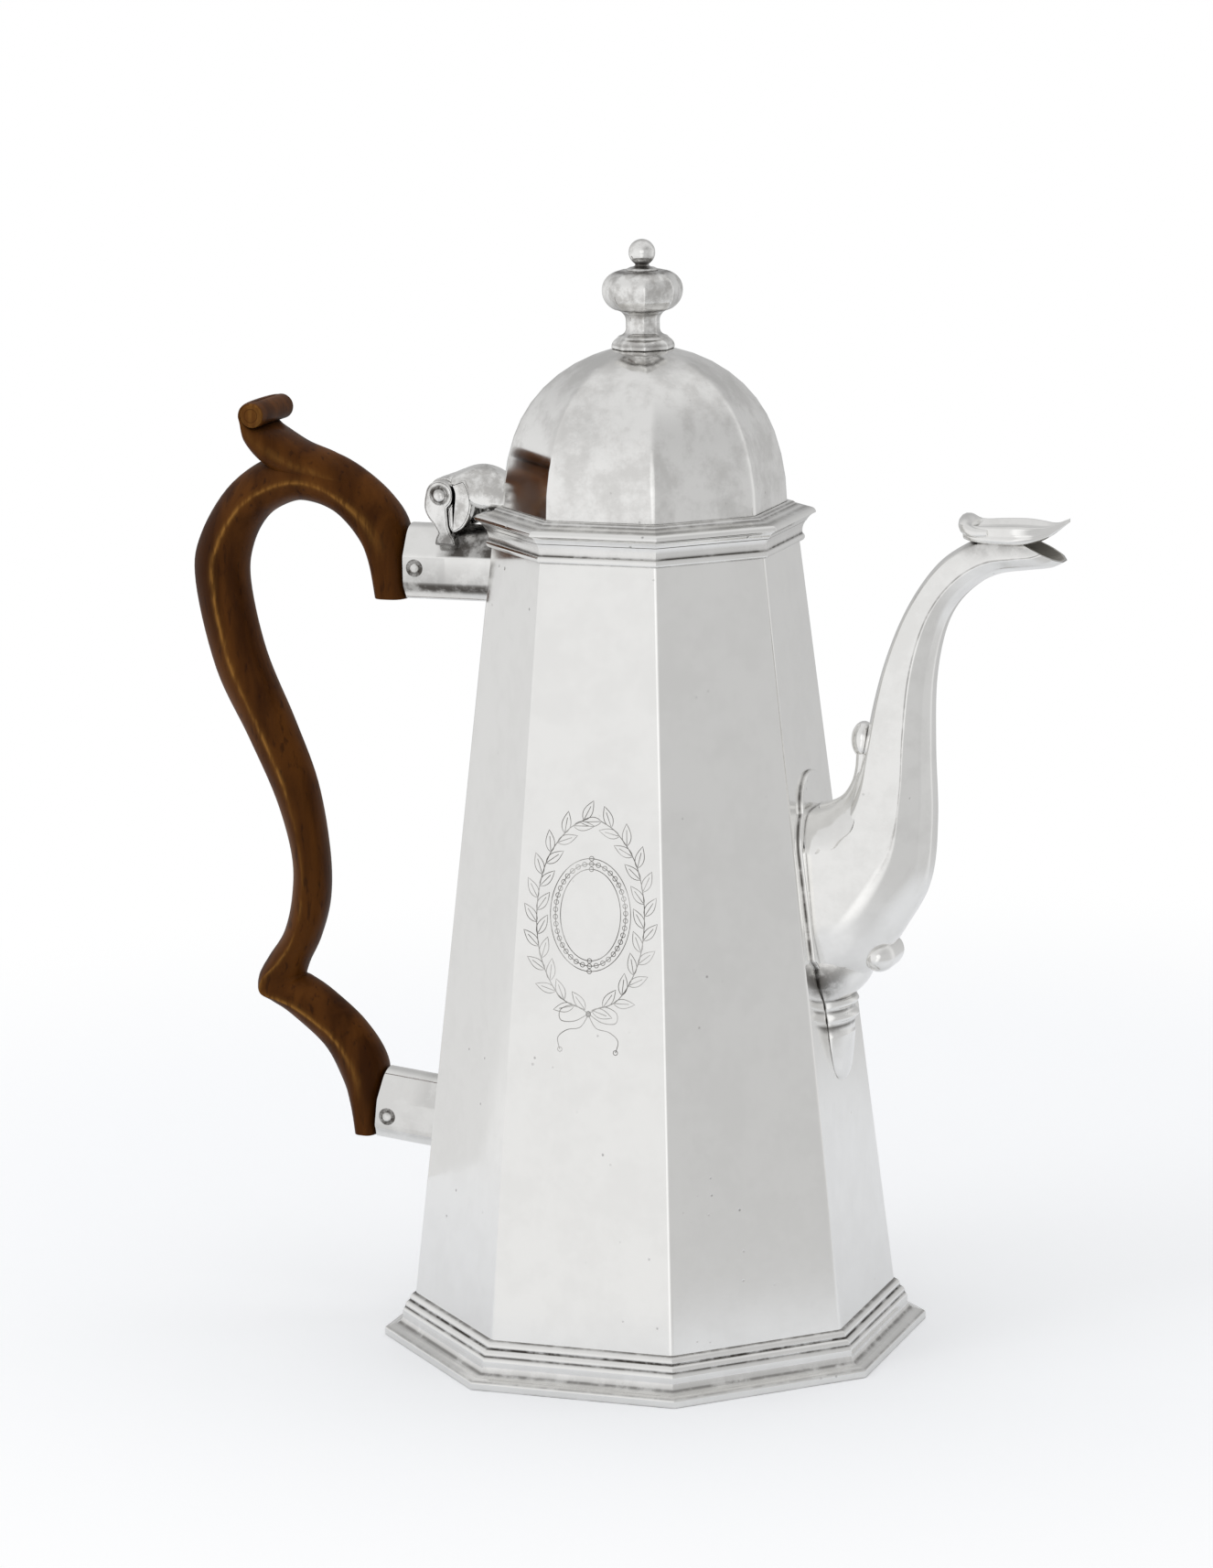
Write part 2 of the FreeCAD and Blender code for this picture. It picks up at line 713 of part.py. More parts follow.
ears = new_body("hinge_ears")
knuckle = number(d.knuckle_radius)
EAR_OPENING = math.radians(60)
ear_right = (knuckle * math.cos(EAR_OPENING), -knuckle * math.sin(EAR_OPENING))
ear_turn = math.tan((math.pi + EAR_OPENING) / 4)
ear_outline = [
    at_pin(*ear_right, ear_turn),
    at_pin(-knuckle, 0, QUARTER / 3),
    at_pin(-2.6, -5.4),
    at_pin(-1.0, -7.4),
    at_pin(-0.9, -12.0),
    at_pin(2.4, -12.0),
    at_pin(1.9, -7.2),
]
ears_pad = pad(ears, draw(ears, "ear_outline", "XZ_Plane", [ear_outline]), d.hinge_width)
between = draw(ears, "ear_gap", "XZ_Plane", [[
    at_pin(-9.0, -4.8), at_pin(9.0, -4.8), at_pin(9.0, 9.0), at_pin(-9.0, 9.0)]])
gap = ears.newObject("PartDesign::Pocket", "knuckle_gap")
gap.Profile = between
gap.SideType = "Symmetric"
bind(gap, Length=d.hinge_width - d.ear_thickness * 2)
doc.recompute()
if gap.Shape.Volume >= ears_pad.Shape.Volume:
    raise RuntimeError("the gap between the ears cuts nothing")
hinge_stand = cut("hinge_stand", ears, upper_solid, hinge_pin)

leaf_form = new_body("hinge_leaf_form")
leaf_tip = number(d.leaf_end) - number(d.pin_x)
arm_under = -2.8
HOOD_LEAN = 1.4
hood_start = (-HOOD_LEAN, math.sqrt(knuckle ** 2 - HOOD_LEAN ** 2))
hood_turn = math.radians(270) - math.atan2(hood_start[1], hood_start[0])
slant = knuckle * math.sqrt(0.5)
pad(leaf_form, draw(leaf_form, "leaf_outline", "XZ_Plane", [[
    at_pin(0, -knuckle, QUARTER / 2),
    at_pin(slant, -slant),
    at_pin(3.1, -4.2),
    at_pin(3.5, -6.3, 0.45),
    at_pin(7.4, -6.1),
    at_pin(8.4, arm_under),
    at_pin(leaf_tip, arm_under),
    at_pin(leaf_tip, 1.6, 0.33),
    at_pin(*hood_start, math.tan(hood_turn / 4)),
]]), d.hinge_width)
arch_form = new_body("hood_arch")
half_hinge = d.hinge_width * 0.5
arch_length = d.leaf_end - d.pin_x + d.knuckle_radius
pad(arch_form, draw(arch_form, "arch_outline", "YZ_Plane", [[
    (-half_hinge, d.mouth_height - d.knuckle_radius),
    (half_hinge, d.mouth_height - d.knuckle_radius),
    (half_hinge, d.pin_z + d.hood_spring, number(d.hood_rise) / number(half_hinge)),
    (-half_hinge, d.pin_z + d.hood_spring),
]], along_x(d.pin_x - d.knuckle_radius)), arch_length, symmetric=False)
leaf_arched = doc.addObject("Part::Common", "leaf_arched")
leaf_arched.Base = leaf_form
leaf_arched.Tool = arch_form
doc.recompute()
ear_room = d.knuckle_radius + d.ear_play
room_length = d.ear_thickness + d.ear_play
room_middle = (number(d.hinge_width) - number(room_length)) / 2
near_room = round_bar("near_room", ear_room, room_length, d.pin_x, d.pin_z, -room_middle)
far_room = round_bar("far_room", ear_room, room_length, d.pin_x, d.pin_z, room_middle)
pin_hole = round_bar("pin_hole", d.pin_radius + d.pin_play, d.hinge_width, d.pin_x, d.pin_z)
hinge_leaf = cut("hinge_leaf", leaf_arched, near_room, far_room, pin_hole, lid_rim, lid_dome,
                 lid_bezel)

# Spout: a faceted casting with an arris along each side, hollow from the throat to the lip.
# A station is (point on the body's side, point on the outside, half width).

ROOT_TOP = 118.5
ROOT_BOTTOM = 79.5
SPOUT_STATIONS = [
    ((number(wall_apothem(ROOT_TOP)), ROOT_TOP),
     (number(wall_apothem(ROOT_BOTTOM)), ROOT_BOTTOM), 11.4),
    ((42.5, 119.6), (50.5, 84.1), 11.4),
    ((46.2, 122.0), (58.0, 94.4), 10.6),
    ((48.6, 128.0), (63.1, 104.2), 9.2),
    ((50.2, 136.0), (64.6, 117.9), 7.9),
    ((53.9, 151.7), (64.6, 147.7), 6.1),
    ((57.3, 160.6), (66.5, 158.3), 5.6),
    ((61.6, 168.4), (69.5, 164.8), 5.4),
    ((67.2, 174.2), (74.2, 169.6), 5.5),
    ((74.0, 178.2), (79.3, 172.5), 5.9),
    ((81.5, 179.1), (85.1, 174.0), 6.1),
    ((88.8, 179.8), (92.4, 174.2), 5.4),
]
SPOUT_CORNERS = mirrored([(1.0, 0.3), (0.15, 1.0), (-0.85, 0.75), (-1.0, 0.25)])
BORE_CORNERS = mirrored([(1.0, 0.4), (0.15, 1.0), (-1.0, 0.6)])

spout_solid = skin("spout_solid", stations_in_plane(SPOUT_STATIONS, SPOUT_CORNERS))
last = len(SPOUT_STATIONS) - 1
thinning = [number(d.spout_wall) + (number(d.lip_wall) - number(d.spout_wall)) * i / last
            for i in range(last + 1)]
spout_bore = skin("spout_bore", stations_in_plane(SPOUT_STATIONS, BORE_CORNERS, thinning))
spout = cut("spout", spout_solid, spout_bore)

PLATE_HEIGHT = 100.0
plate_form = new_body("spout_plate_form", facet_frame(PLATE_HEIGHT))
pad(plate_form, draw(plate_form, "plate_outline", "XY_Plane", [[
    (-6.8, -21.2), (6.8, -21.2, -0.25), (12.0, -12.0), (12.4, 12.0, 0.2), (8.5, 19.5, 0.95),
    (-8.5, 19.5, 0.2), (-12.4, 12.0), (-12.0, -12.0, -0.25),
]]), d.plate_thickness, symmetric=False)
spout_plate = cut("spout_plate", plate_form, spout_solid, throat)

# The drop under the root: a bulb, two collars and a tongue, given by (height on the facet,
# half width, reach out of the facet as a share of the half width), with rounded sections.
BULB_REACH = 0.85
TONGUE_REACH = 0.5
DROP_STATIONS = [
    (-13.0, 9.4, BULB_REACH), (-16.5, 9.6, BULB_REACH), (-19.5, 8.4, BULB_REACH),
    (-22.0, 5.7, BULB_REACH), (-22.5, 6.6, BULB_REACH), (-23.7, 6.6, BULB_REACH),
    (-24.2, 5.6, BULB_REACH), (-25.2, 5.6, BULB_REACH), (-25.6, 6.4, BULB_REACH),
    (-26.8, 6.4, BULB_REACH), (-27.3, 5.4, BULB_REACH), (-29.6, 5.2, BULB_REACH),
    (-30.4, 6.3, TONGUE_REACH), (-34.0, 6.0, TONGUE_REACH), (-37.4, 4.2, TONGUE_REACH),
    (-40.2, 0.9, TONGUE_REACH),
]
ROUND_STEPS = 6


drop_rows = []
for height, half_width, reach in DROP_STATIONS:
    turns = [math.pi * k / ROUND_STEPS for k in range(ROUND_STEPS + 1)]
    drop_rows.append([V(half_width * math.cos(turn), height, half_width * reach * math.sin(turn))
                      for turn in turns])
drop_form = skin("spout_drop_form", drop_rows, facet_frame(PLATE_HEIGHT))

front_roll = round_bar("front_roll", d.front_scroll_radius, d.front_scroll_length,
                       d.front_scroll_x, d.front_scroll_z)
spout_front_scroll = cut("spout_front_scroll", front_roll, spout_solid)
spout_drop = cut("spout_drop", drop_form, spout_solid, plate_form, front_roll)

# Leaf on the back of the spout: a broad foot on the root that narrows to a strap and a curl.
LEAF_STATIONS = [
    ((38.9, 120.5), (39.4, 117.6), 8.0),
    ((43.0, 121.6), (43.9, 118.6), 6.2),
    ((45.8, 124.2), (47.6, 122.0), 3.8),
    ((47.2, 128.2), (49.6, 127.4), 2.4),
    ((47.0, 133.4), (49.8, 133.0), 2.2),
]
LEAF_CORNERS = mirrored([(1.0, 1.0), (-1.0, 0.75)])
leaf_strap = skin("leaf_strap", stations_in_plane(LEAF_STATIONS, LEAF_CORNERS))
back_roll = round_bar("back_roll", d.leaf_scroll_radius, d.leaf_scroll_length,
                      d.leaf_scroll_x, d.leaf_scroll_z)
leaf_whole = fuse("leaf_whole", leaf_strap, back_roll)
spout_leaf_scroll = cut("spout_leaf_scroll", leaf_whole, spout_solid, plate_form)

# Hood: a dished leaf over the lip, given by (x, half width, height of its sole). Every section
# has the same shape: a flat sole, a flared side, a rim and the floor of the dish.
HOOD_SHAPE = [(0.5, 0.0), (1.0, 0.33), (0.88, 0.62), (0.4, 0.36)]
HOOD_STATIONS = [
    (71.6, 5.2, 178.9), (75.0, 6.3, 178.8), (79.0, 6.8, 178.8), (84.0, 6.7, 178.9),
    (88.6, 5.2, 179.6), (94.2, 0.6, 182.9),
]
hood_rows = []
for x, half_width, sole in HOOD_STATIONS:
    hood_rows.append([V(x, half_width * across, sole + half_width * rise)
                      for across, rise in mirrored_across(HOOD_SHAPE)])
hood_leaf = skin("hood_leaf", hood_rows)
heel = round_bar("hood_heel", d.heel_radius, d.heel_length, d.heel_x, d.heel_z)
hood_whole = fuse("hood_whole", hood_leaf, heel)
spout_hood = cut("spout_hood", hood_whole, spout_solid)

# Every sub-part is checked, then written to its own file

PARTS = [
    body_wall, bottom_plate, foot_moulding, rim_moulding, spout, spout_hood, spout_plate,
    spout_drop, spout_front_scroll, spout_leaf_scroll, upper_socket, lower_socket, handle,
    upper_pin, lower_pin, hinge_stand, hinge_pin, lid_dome, lid_rim, lid_bezel, hinge_leaf,
    finial_baluster, finial_knop, finial_nut,
]

doc.recompute()
for thing in doc.Objects:
    if "Invalid" in thing.State or "Error" in thing.State:
        raise RuntimeError("%s failed: %s" % (thing.Label, thing.State))
for part in PARTS:
    if part.Shape.isNull() or not part.Shape.isValid() or not part.Shape.Solids:
        raise RuntimeError("%s has no valid solid" % part.Label)

os.makedirs("parts", exist_ok=True)
for part in PARTS:
    part.Shape.exportStep("parts/%s.step" % part.Label)
    box = part.Shape.BoundBox
    print("%-20s %d solid(s) %9.1f mm3  x %.1f..%.1f  y %.1f..%.1f  z %.1f..%.1f" % (
        part.Label, len(part.Shape.Solids), part.Shape.Volume, box.XMin, box.XMax,
        box.YMin, box.YMax, box.ZMin, box.ZMax))
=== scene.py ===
# %% [markdown]
# # A silver coffee pot with eight sides
#
# The solid parts of the pot arrive as a fixed frame, in metres, with the foot on the floor
# at the origin, the spout towards +X and the handle towards -X. Polished silver shows every
# flaw of a mesh, so most parts are built again here with softened edges and smooth normals,
# at the size and place of the solid that each one stands for.

# %% Load the solid parts
import math

import bmesh
import bpy
from mathutils import Matrix, Vector


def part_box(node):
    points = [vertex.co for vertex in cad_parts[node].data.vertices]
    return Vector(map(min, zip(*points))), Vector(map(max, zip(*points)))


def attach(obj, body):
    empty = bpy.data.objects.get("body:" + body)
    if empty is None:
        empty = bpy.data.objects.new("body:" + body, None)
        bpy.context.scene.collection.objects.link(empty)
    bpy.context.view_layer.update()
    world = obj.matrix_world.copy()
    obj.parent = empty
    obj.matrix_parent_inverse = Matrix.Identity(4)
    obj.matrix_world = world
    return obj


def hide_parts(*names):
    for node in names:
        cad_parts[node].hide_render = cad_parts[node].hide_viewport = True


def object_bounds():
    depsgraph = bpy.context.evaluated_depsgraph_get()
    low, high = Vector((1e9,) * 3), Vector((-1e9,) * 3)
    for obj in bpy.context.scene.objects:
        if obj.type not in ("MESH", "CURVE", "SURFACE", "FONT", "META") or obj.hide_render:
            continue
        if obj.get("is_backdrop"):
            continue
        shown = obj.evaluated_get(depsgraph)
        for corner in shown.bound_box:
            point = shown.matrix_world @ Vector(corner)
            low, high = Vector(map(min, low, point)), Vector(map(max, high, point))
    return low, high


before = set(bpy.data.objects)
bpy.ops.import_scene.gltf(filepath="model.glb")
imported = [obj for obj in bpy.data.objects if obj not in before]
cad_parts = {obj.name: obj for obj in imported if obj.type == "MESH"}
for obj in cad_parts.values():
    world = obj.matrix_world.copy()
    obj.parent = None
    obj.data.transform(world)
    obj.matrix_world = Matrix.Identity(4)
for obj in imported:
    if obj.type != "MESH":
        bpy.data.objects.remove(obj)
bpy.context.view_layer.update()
MM = 0.001

# %% [markdown]
# ## The camera
#
# The photograph was taken from the front, a little to the right and above, with a long lens.
# Its place was worked out from the corners of the foot and the rim. A camera in Blender looks
# along its own -Z, so its matrix holds the right, up and backward directions.

# %% Camera
PHOTO_LONG_SIDE = 1714
FOCAL_IN_PIXELS = 6011.7
SENSOR_LONG_SIDE = 36.0
AZIMUTH = math.radians(19.06)
HEADING = math.radians(19.51)
PITCH = math.radians(11.35)
ROLL = math.radians(-0.84)
DISTANCE = 1170.8 * MM
EYE_HEIGHT = 357.6 * MM

level_right = Vector((math.cos(HEADING), math.sin(HEADING), 0))
level_forward = Vector((-math.sin(HEADING), math.cos(HEADING), 0))
up_axis = Vector((0, 0, 1))
look = level_forward * math.cos(PITCH) - up_axis * math.sin(PITCH)
tilt_up = level_forward * math.sin(PITCH) + up_axis * math.cos(PITCH)
camera_right = level_right * math.cos(ROLL) + tilt_up * math.sin(ROLL)
camera_up = tilt_up * math.cos(ROLL) - level_right * math.sin(ROLL)

lens = bpy.data.cameras.new("photo_camera")
lens.sensor_width = SENSOR_LONG_SIDE
lens.sensor_fit = "AUTO"
lens.lens = FOCAL_IN_PIXELS / PHOTO_LONG_SIDE * SENSOR_LONG_SIDE
camera = bpy.data.objects.new("photo_camera", lens)
turn = Matrix((camera_right, camera_up, -look)).transposed().to_4x4()
eye = Vector((math.sin(AZIMUTH) * DISTANCE, -math.cos(AZIMUTH) * DISTANCE, EYE_HEIGHT))
camera.matrix_world = Matrix.Translation(eye) @ turn
bpy.context.scene.collection.objects.link(camera)
bpy.context.scene.camera = camera
print("lens %.1f mm, %.2f m away" % (lens.lens, DISTANCE))

# %% [markdown]
# ## The white tent
#
# Silver has no colour of its own: it shows the room. The photographer put the pot in a white
# tent, brighter on the handle's side and greyer on the spout's side, so that neighbouring
# facets differ in tone. The world gives the lens pure white, gives the silver that tent, and
# lights everything else at a plain level.

# %% Node helpers


def node(tree, kind, values=None, links=None, **settings):
    """Adds a node, sets its properties and socket values, and links sockets into it."""
    made = tree.nodes.new(kind)
    for name, value in settings.items():
        setattr(made, name, value)
    for name, value in (values or {}).items():
        made.inputs[name].default_value = value
    for name, source in (links or {}).items():
        tree.links.new(source, made.inputs[name])
    return made


def multiply(tree, first, second):
    return arithmetic(tree, "MULTIPLY", first, second)


def arithmetic(tree, operation, first, second, clamp=False):
    """One sum on two sockets, or on a socket and a number."""
    made = tree.nodes.new("ShaderNodeMath")
    made.operation = operation
    made.use_clamp = clamp
    for slot, value in zip(made.inputs, (first, second)):
        if isinstance(value, (int, float)):
            slot.default_value = value
        else:
            tree.links.new(value, slot)
    return made.outputs[0]


def ease(tree, value, low, high, out_low, out_high):
    """Maps a value smoothly from one range to another."""
    made = node(tree, "ShaderNodeMapRange",
                {"From Min": low, "From Max": high, "To Min": out_low, "To Max": out_high},
                {"Value": value}, interpolation_type="SMOOTHSTEP")
    return made.outputs["Result"]


# %% World
UPWARD = Vector((0, 0, 1))
SPOUT_SIDE = Vector((0.94, -0.34, 0.0))
BACK_SIDE = Vector((-0.25, 0.95, 0.1)).normalized()
LENS_SIDE = (eye - Vector((0, 0, 0.12))).normalized()
PLAIN_LEVEL = 0.62
TENT_WHITE = 0.86
SHADE = 0.10


def tent_level(tree, direction):
    """Brightness of the tent in a direction: greyer above, at the spout and at the back,
    and brightest beside the lens, which draws a light line down every ridge."""
    level = TENT_WHITE
    for side, start, full, share in ((UPWARD, 0.10, 0.75, 0.86),
                                     (SPOUT_SIDE, 0.25, 0.95, 0.70),
                                     (BACK_SIDE, 0.35, 1.0, 0.60),
                                     (LENS_SIDE, 0.93, 0.985, 1.45)):
        facing = node(tree, "ShaderNodeVectorMath", {1: side}, {0: direction},
                      operation="DOT_PRODUCT").outputs["Value"]
        level = arithmetic(tree, "MULTIPLY", ease(tree, facing, start, full, 1.0, share), level)
    return level


world = bpy.data.worlds.new("tent")
world.use_nodes = True
bpy.context.scene.world = world
tree = world.node_tree
tree.nodes.clear()
direction = node(tree, "ShaderNodeTexCoord").outputs["Generated"]
rays = node(tree, "ShaderNodeLightPath")
seen_by_silver = arithmetic(tree, "MAXIMUM", rays.outputs["Is Glossy Ray"],
                            rays.outputs["Is Transmission Ray"])
after_floor = arithmetic(tree, "GREATER_THAN", rays.outputs["Diffuse Depth"], 0.5)
mirrored = node(tree, "ShaderNodeMix", {3: SHADE},
                {0: after_floor, 2: tent_level(tree, direction)})
level = node(tree, "ShaderNodeMix", {2: PLAIN_LEVEL},
             {0: seen_by_silver, 3: mirrored.outputs[0]})
level = node(tree, "ShaderNodeMix", {3: 1.0},
             {0: rays.outputs["Is Camera Ray"], 2: level.outputs[0]})
glow = node(tree, "ShaderNodeBackground", {"Color": (1, 1, 1, 1)},
            {"Strength": level.outputs[0]})
node(tree, "ShaderNodeOutputWorld", links={"Surface": glow.outputs[0]})
print("tent white %.2f, plain level %.2f" % (TENT_WHITE, PLAIN_LEVEL))

# %% Lamps


def softbox(name, place, aim, width, power):
    """A square lamp, placed and aimed in metres."""
    light = bpy.data.lights.new(name, "AREA")
    light.shape = "SQUARE"
    light.size = width
    light.energy = power
    lamp = bpy.data.objects.new(name, light)
    lamp.location = place
    lamp.rotation_euler = (Vector(aim) - Vector(place)).to_track_quat("-Z", "Y").to_euler()
    lamp.visible_glossy = False
    bpy.context.scene.collection.objects.link(lamp)
    return lamp


MIDDLE = (0.0, 0.0, 0.12)
softbox("left_softbox", (-0.75, -0.7, 1.0), MIDDLE, 0.7, 2.2)
softbox("top_softbox", (0.15, 0.1, 1.35), MIDDLE, 0.9, 1.6)

# %% [markdown]
# ## The floor and a card
#
# The floor is white paper. Under plain light paper is slightly grey, so near the pot a glow is
# added for the rays that reach the lens or the silver, and the shadow round the foot stays.
# Farther out the paper runs up into the tent and takes its brightness. A white card between
# the handle and the wall keeps the brown of the handle out of the left facets; the lens does
# not see it, and it casts no shadow.

# %% Floor
FLOOR_HALF = 1.6
LENS_GLOW = 0.33
SILVER_GLOW = 0.17
NEAR = 0.16
FAR = 0.37
SHADE_MIDDLE = (0.0, 0.10, 0.0)

paper = bpy.data.materials.new("white_paper")
paper.use_nodes = True
tree = paper.node_tree
tree.nodes.clear()
rays = node(tree, "ShaderNodeLightPath")
direct = arithmetic(tree, "MAXIMUM", rays.outputs["Is Camera Ray"],
                    rays.outputs["Is Glossy Ray"])
place = node(tree, "ShaderNodeTexCoord").outputs["Object"]
reach = node(tree, "ShaderNodeVectorMath", {1: SHADE_MIDDLE}, {0: place},
             operation="DISTANCE").outputs["Value"]
heading = node(tree, "ShaderNodeVectorMath", links={0: place}, operation="NORMALIZE").outputs[0]
outer = node(tree, "ShaderNodeMix", {3: 1.0},
             {0: rays.outputs["Is Camera Ray"], 2: tent_level(tree, heading)})
matt = node(tree, "ShaderNodeBsdfDiffuse", {"Color": (0.82, 0.835, 0.86, 1)})
glow = arithmetic(tree, "ADD", multiply(tree, rays.outputs["Is Camera Ray"], LENS_GLOW),
                  multiply(tree, rays.outputs["Is Glossy Ray"], SILVER_GLOW))
lift = node(tree, "ShaderNodeEmission", {"Color": (1, 1, 1, 1)}, {"Strength": glow})
near = node(tree, "ShaderNodeAddShader", links={0: matt.outputs[0], 1: lift.outputs[0]})
far = node(tree, "ShaderNodeEmission", {"Color": (1, 1, 1, 1)}, {"Strength": outer.outputs[0]})
spread = multiply(tree, ease(tree, reach, NEAR, FAR, 0.0, 1.0), direct)
both = node(tree, "ShaderNodeMixShader", links={0: spread, 1: near.outputs[0], 2: far.outputs[0]})
node(tree, "ShaderNodeOutputMaterial", links={"Surface": both.outputs[0]})


def stage_sheet(name, corners, finish):
    """A flat sheet of the studio, with its corners in metres."""
    mesh = bpy.data.meshes.new(name)
    mesh.from_pydata(corners, [], [(0, 1, 2, 3)])
    mesh.materials.append(finish)
    made = bpy.data.objects.new(name, mesh)
    bpy.context.scene.collection.objects.link(made)
    made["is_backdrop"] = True
    return made


stage_sheet("floor", [(x * FLOOR_HALF, y * FLOOR_HALF, 0.0)
                      for x, y in ((-1, -1), (1, -1), (1, 1), (-1, 1))], paper)


white_card = bpy.data.materials.new("white_card")
white_card.use_nodes = True
tree = white_card.node_tree
tree.nodes.clear()
shine = node(tree, "ShaderNodeEmission", {"Color": (1, 1, 1, 1), "Strength": 0.74})
node(tree, "ShaderNodeOutputMaterial", links={"Surface": shine.outputs[0]})
card = stage_sheet("card", [(x, -0.0095, z) for x, z in ((-0.112, 0.03), (-0.045, 0.03),
                                                         (-0.045, 0.172), (-0.112, 0.172))], white_card)
card.visible_camera = False
card.visible_diffuse = False
card.visible_shadow = False
print("floor %.1f m across, one card" % (2 * FLOOR_HALF))

# %% [markdown]
# ## The finishes
#
# The silver is bright but old. Its sheet was raised by hand, so it waves very slightly; it
# has fine pits and clouds of tarnish, heaviest on the castings; and polish and patina stay in
# every groove. Narrow gaps are found with ambient occlusion at a reach of a millimetre and
# get painted shade, and the hollows of the mouldings and the places in shade under other
# parts are marked on the mesh and painted dark, as patina and painted shade.

# %% Silver


def silver_finish(name, wave, tarnish, fineness=1.0):
    """Polished old silver. Wave is the height of the sheet's waves in metres; tarnish is how
    far the polish has clouded, and fineness how small the clouds and pits are. The attribute
    named mark holds the dark of the grooves and of the places under other parts, from 0 to 1,
    as patina and painted shade, and is 2 where nobody polishes. Ambient occlusion adds painted
    shade in narrow gaps."""
    made = bpy.data.materials.new(name)
    made.use_nodes = True
    tree = made.node_tree
    metal = tree.nodes["Principled BSDF"]
    place = node(tree, "ShaderNodeTexCoord").outputs["Object"]
    sheet = node(tree, "ShaderNodeTexNoise", {"Scale": 26.0, "Detail": 1.5}, {"Vector": place})
    cloud = node(tree, "ShaderNodeTexNoise", {"Scale": 75.0 * fineness, "Detail": 5.0}, {"Vector": place})
    blotch = node(tree, "ShaderNodeTexNoise", {"Scale": 210.0 * fineness, "Detail": 7.0,
                                            "Roughness": 0.65}, {"Vector": place})
    grain = node(tree, "ShaderNodeTexNoise", {"Scale": 1500.0, "Detail": 2.0}, {"Vector": place})
    spots = node(tree, "ShaderNodeTexVoronoi", {"Scale": 230.0 * fineness}, {"Vector": place})
    thin = node(tree, "ShaderNodeTexNoise", {"Scale": 55.0}, {"Vector": place})
    rare = ease(tree, thin.outputs["Fac"], 0.54, 0.64, 0.0, 1.0)
    pits = multiply(tree, ease(tree, spots.outputs["Distance"], 0.03, 0.10, 1.0, 0.0), rare)
    # Painted shade: ambient occlusion darkens narrow gaps and the joins between parts.
    shelter = node(tree, "ShaderNodeAmbientOcclusion", {"Distance": CREVICE_REACH}, samples=6)
    occlusion_shade = ease(tree, shelter.outputs["AO"], 0.22, 0.66, 1.0, 0.0)
    groove = node(tree, "ShaderNodeAttribute", attribute_name="mark").outputs["Fac"]
    inside = ease(tree, groove, 1.2, 1.8, 0.0, 1.0)
    # The mark adds patina and painted shade in grooves and under other parts; a mark of 2 is the dull lining
    # instead.
    shade_and_patina = arithmetic(tree, "MAXIMUM", occlusion_shade, multiply(tree, groove,
                                                         ease(tree, groove, 1.0, 1.3, 1.0, 0.0)))
    pits_patina_and_shade = multiply(tree, shade_and_patina, ease(tree, blotch.outputs["Fac"], 0.36, 0.56, 0.5, 1.0))
    pits_patina_and_shade = arithmetic(tree, "MAXIMUM", pits_patina_and_shade, multiply(tree, pits, 0.5))
    patchy = arithmetic(tree, "ADD", multiply(tree, cloud.outputs["Fac"], 0.5),
                        multiply(tree, blotch.outputs["Fac"], 0.5))
    dull = ease(tree, patchy, 0.42, 0.60, 0.0, tarnish)
    polished = node(tree, "ShaderNodeMix", {6: (0.93, 0.925, 0.91, 1), 7: (0.36, 0.345, 0.325, 1)},
                    {0: dull}, data_type="RGBA")
    # Patina, pits and painted shade, mixed into one dark colour.
    colour = node(tree, "ShaderNodeMix", {7: (0.075, 0.066, 0.058, 1)},
                  {0: pits_patina_and_shade, 6: polished.outputs[2]}, data_type="RGBA")
    colour = node(tree, "ShaderNodeMix", {7: (0.46, 0.44, 0.40, 1)},
                  {0: inside, 6: colour.outputs[2]}, data_type="RGBA")
    tree.links.new(colour.outputs[2], metal.inputs["Base Color"])
    tree.links.new(arithmetic(tree, "SUBTRACT", 1.0, inside), metal.inputs["Metallic"])
    rough = ease(tree, cloud.outputs["Fac"], 0.3, 0.75, 0.08, 0.17)
    rough = arithmetic(tree, "ADD", rough, multiply(tree, pits_patina_and_shade, 0.3))
    rough = arithmetic(tree, "ADD", rough, multiply(tree, inside, 0.4))
    tree.links.new(rough, metal.inputs["Roughness"])
    bump = node(tree, "ShaderNodeBump", {"Strength": 1.0, "Distance": wave},
                {"Height": sheet.outputs["Fac"]})
    bump = node(tree, "ShaderNodeBump", {"Strength": 1.0, "Distance": 1.2e-6},
                {"Height": grain.outputs["Fac"], "Normal": bump.outputs[0]})
    bump = node(tree, "ShaderNodeBump", {"Strength": 1.0, "Distance": 6e-5},
                {"Height": arithmetic(tree, "MULTIPLY", pits, -1.0), "Normal": bump.outputs[0]})
    tree.links.new(bump.outputs[0], metal.inputs["Normal"])
    return made


CREVICE_REACH = 1.1 * MM
DULL = 2.0
sheet_silver = silver_finish("sheet_silver", 1.6e-4, 0.045)
spout_silver = silver_finish("spout_silver", 2.2e-4, 0.10)
dome_silver = silver_finish("dome_silver", 2.0e-4, 0.30)
cast_silver = silver_finish("cast_silver", 2.6e-4, 0.60, 2.3)

# %% [markdown]
# The handle is fruitwood, sawn from a plank so that the grain runs up and down. Hands have
# polished it: it is darkest on the flats, and golden along the arrises where the stain has
# worn through.

# %% Fruitwood


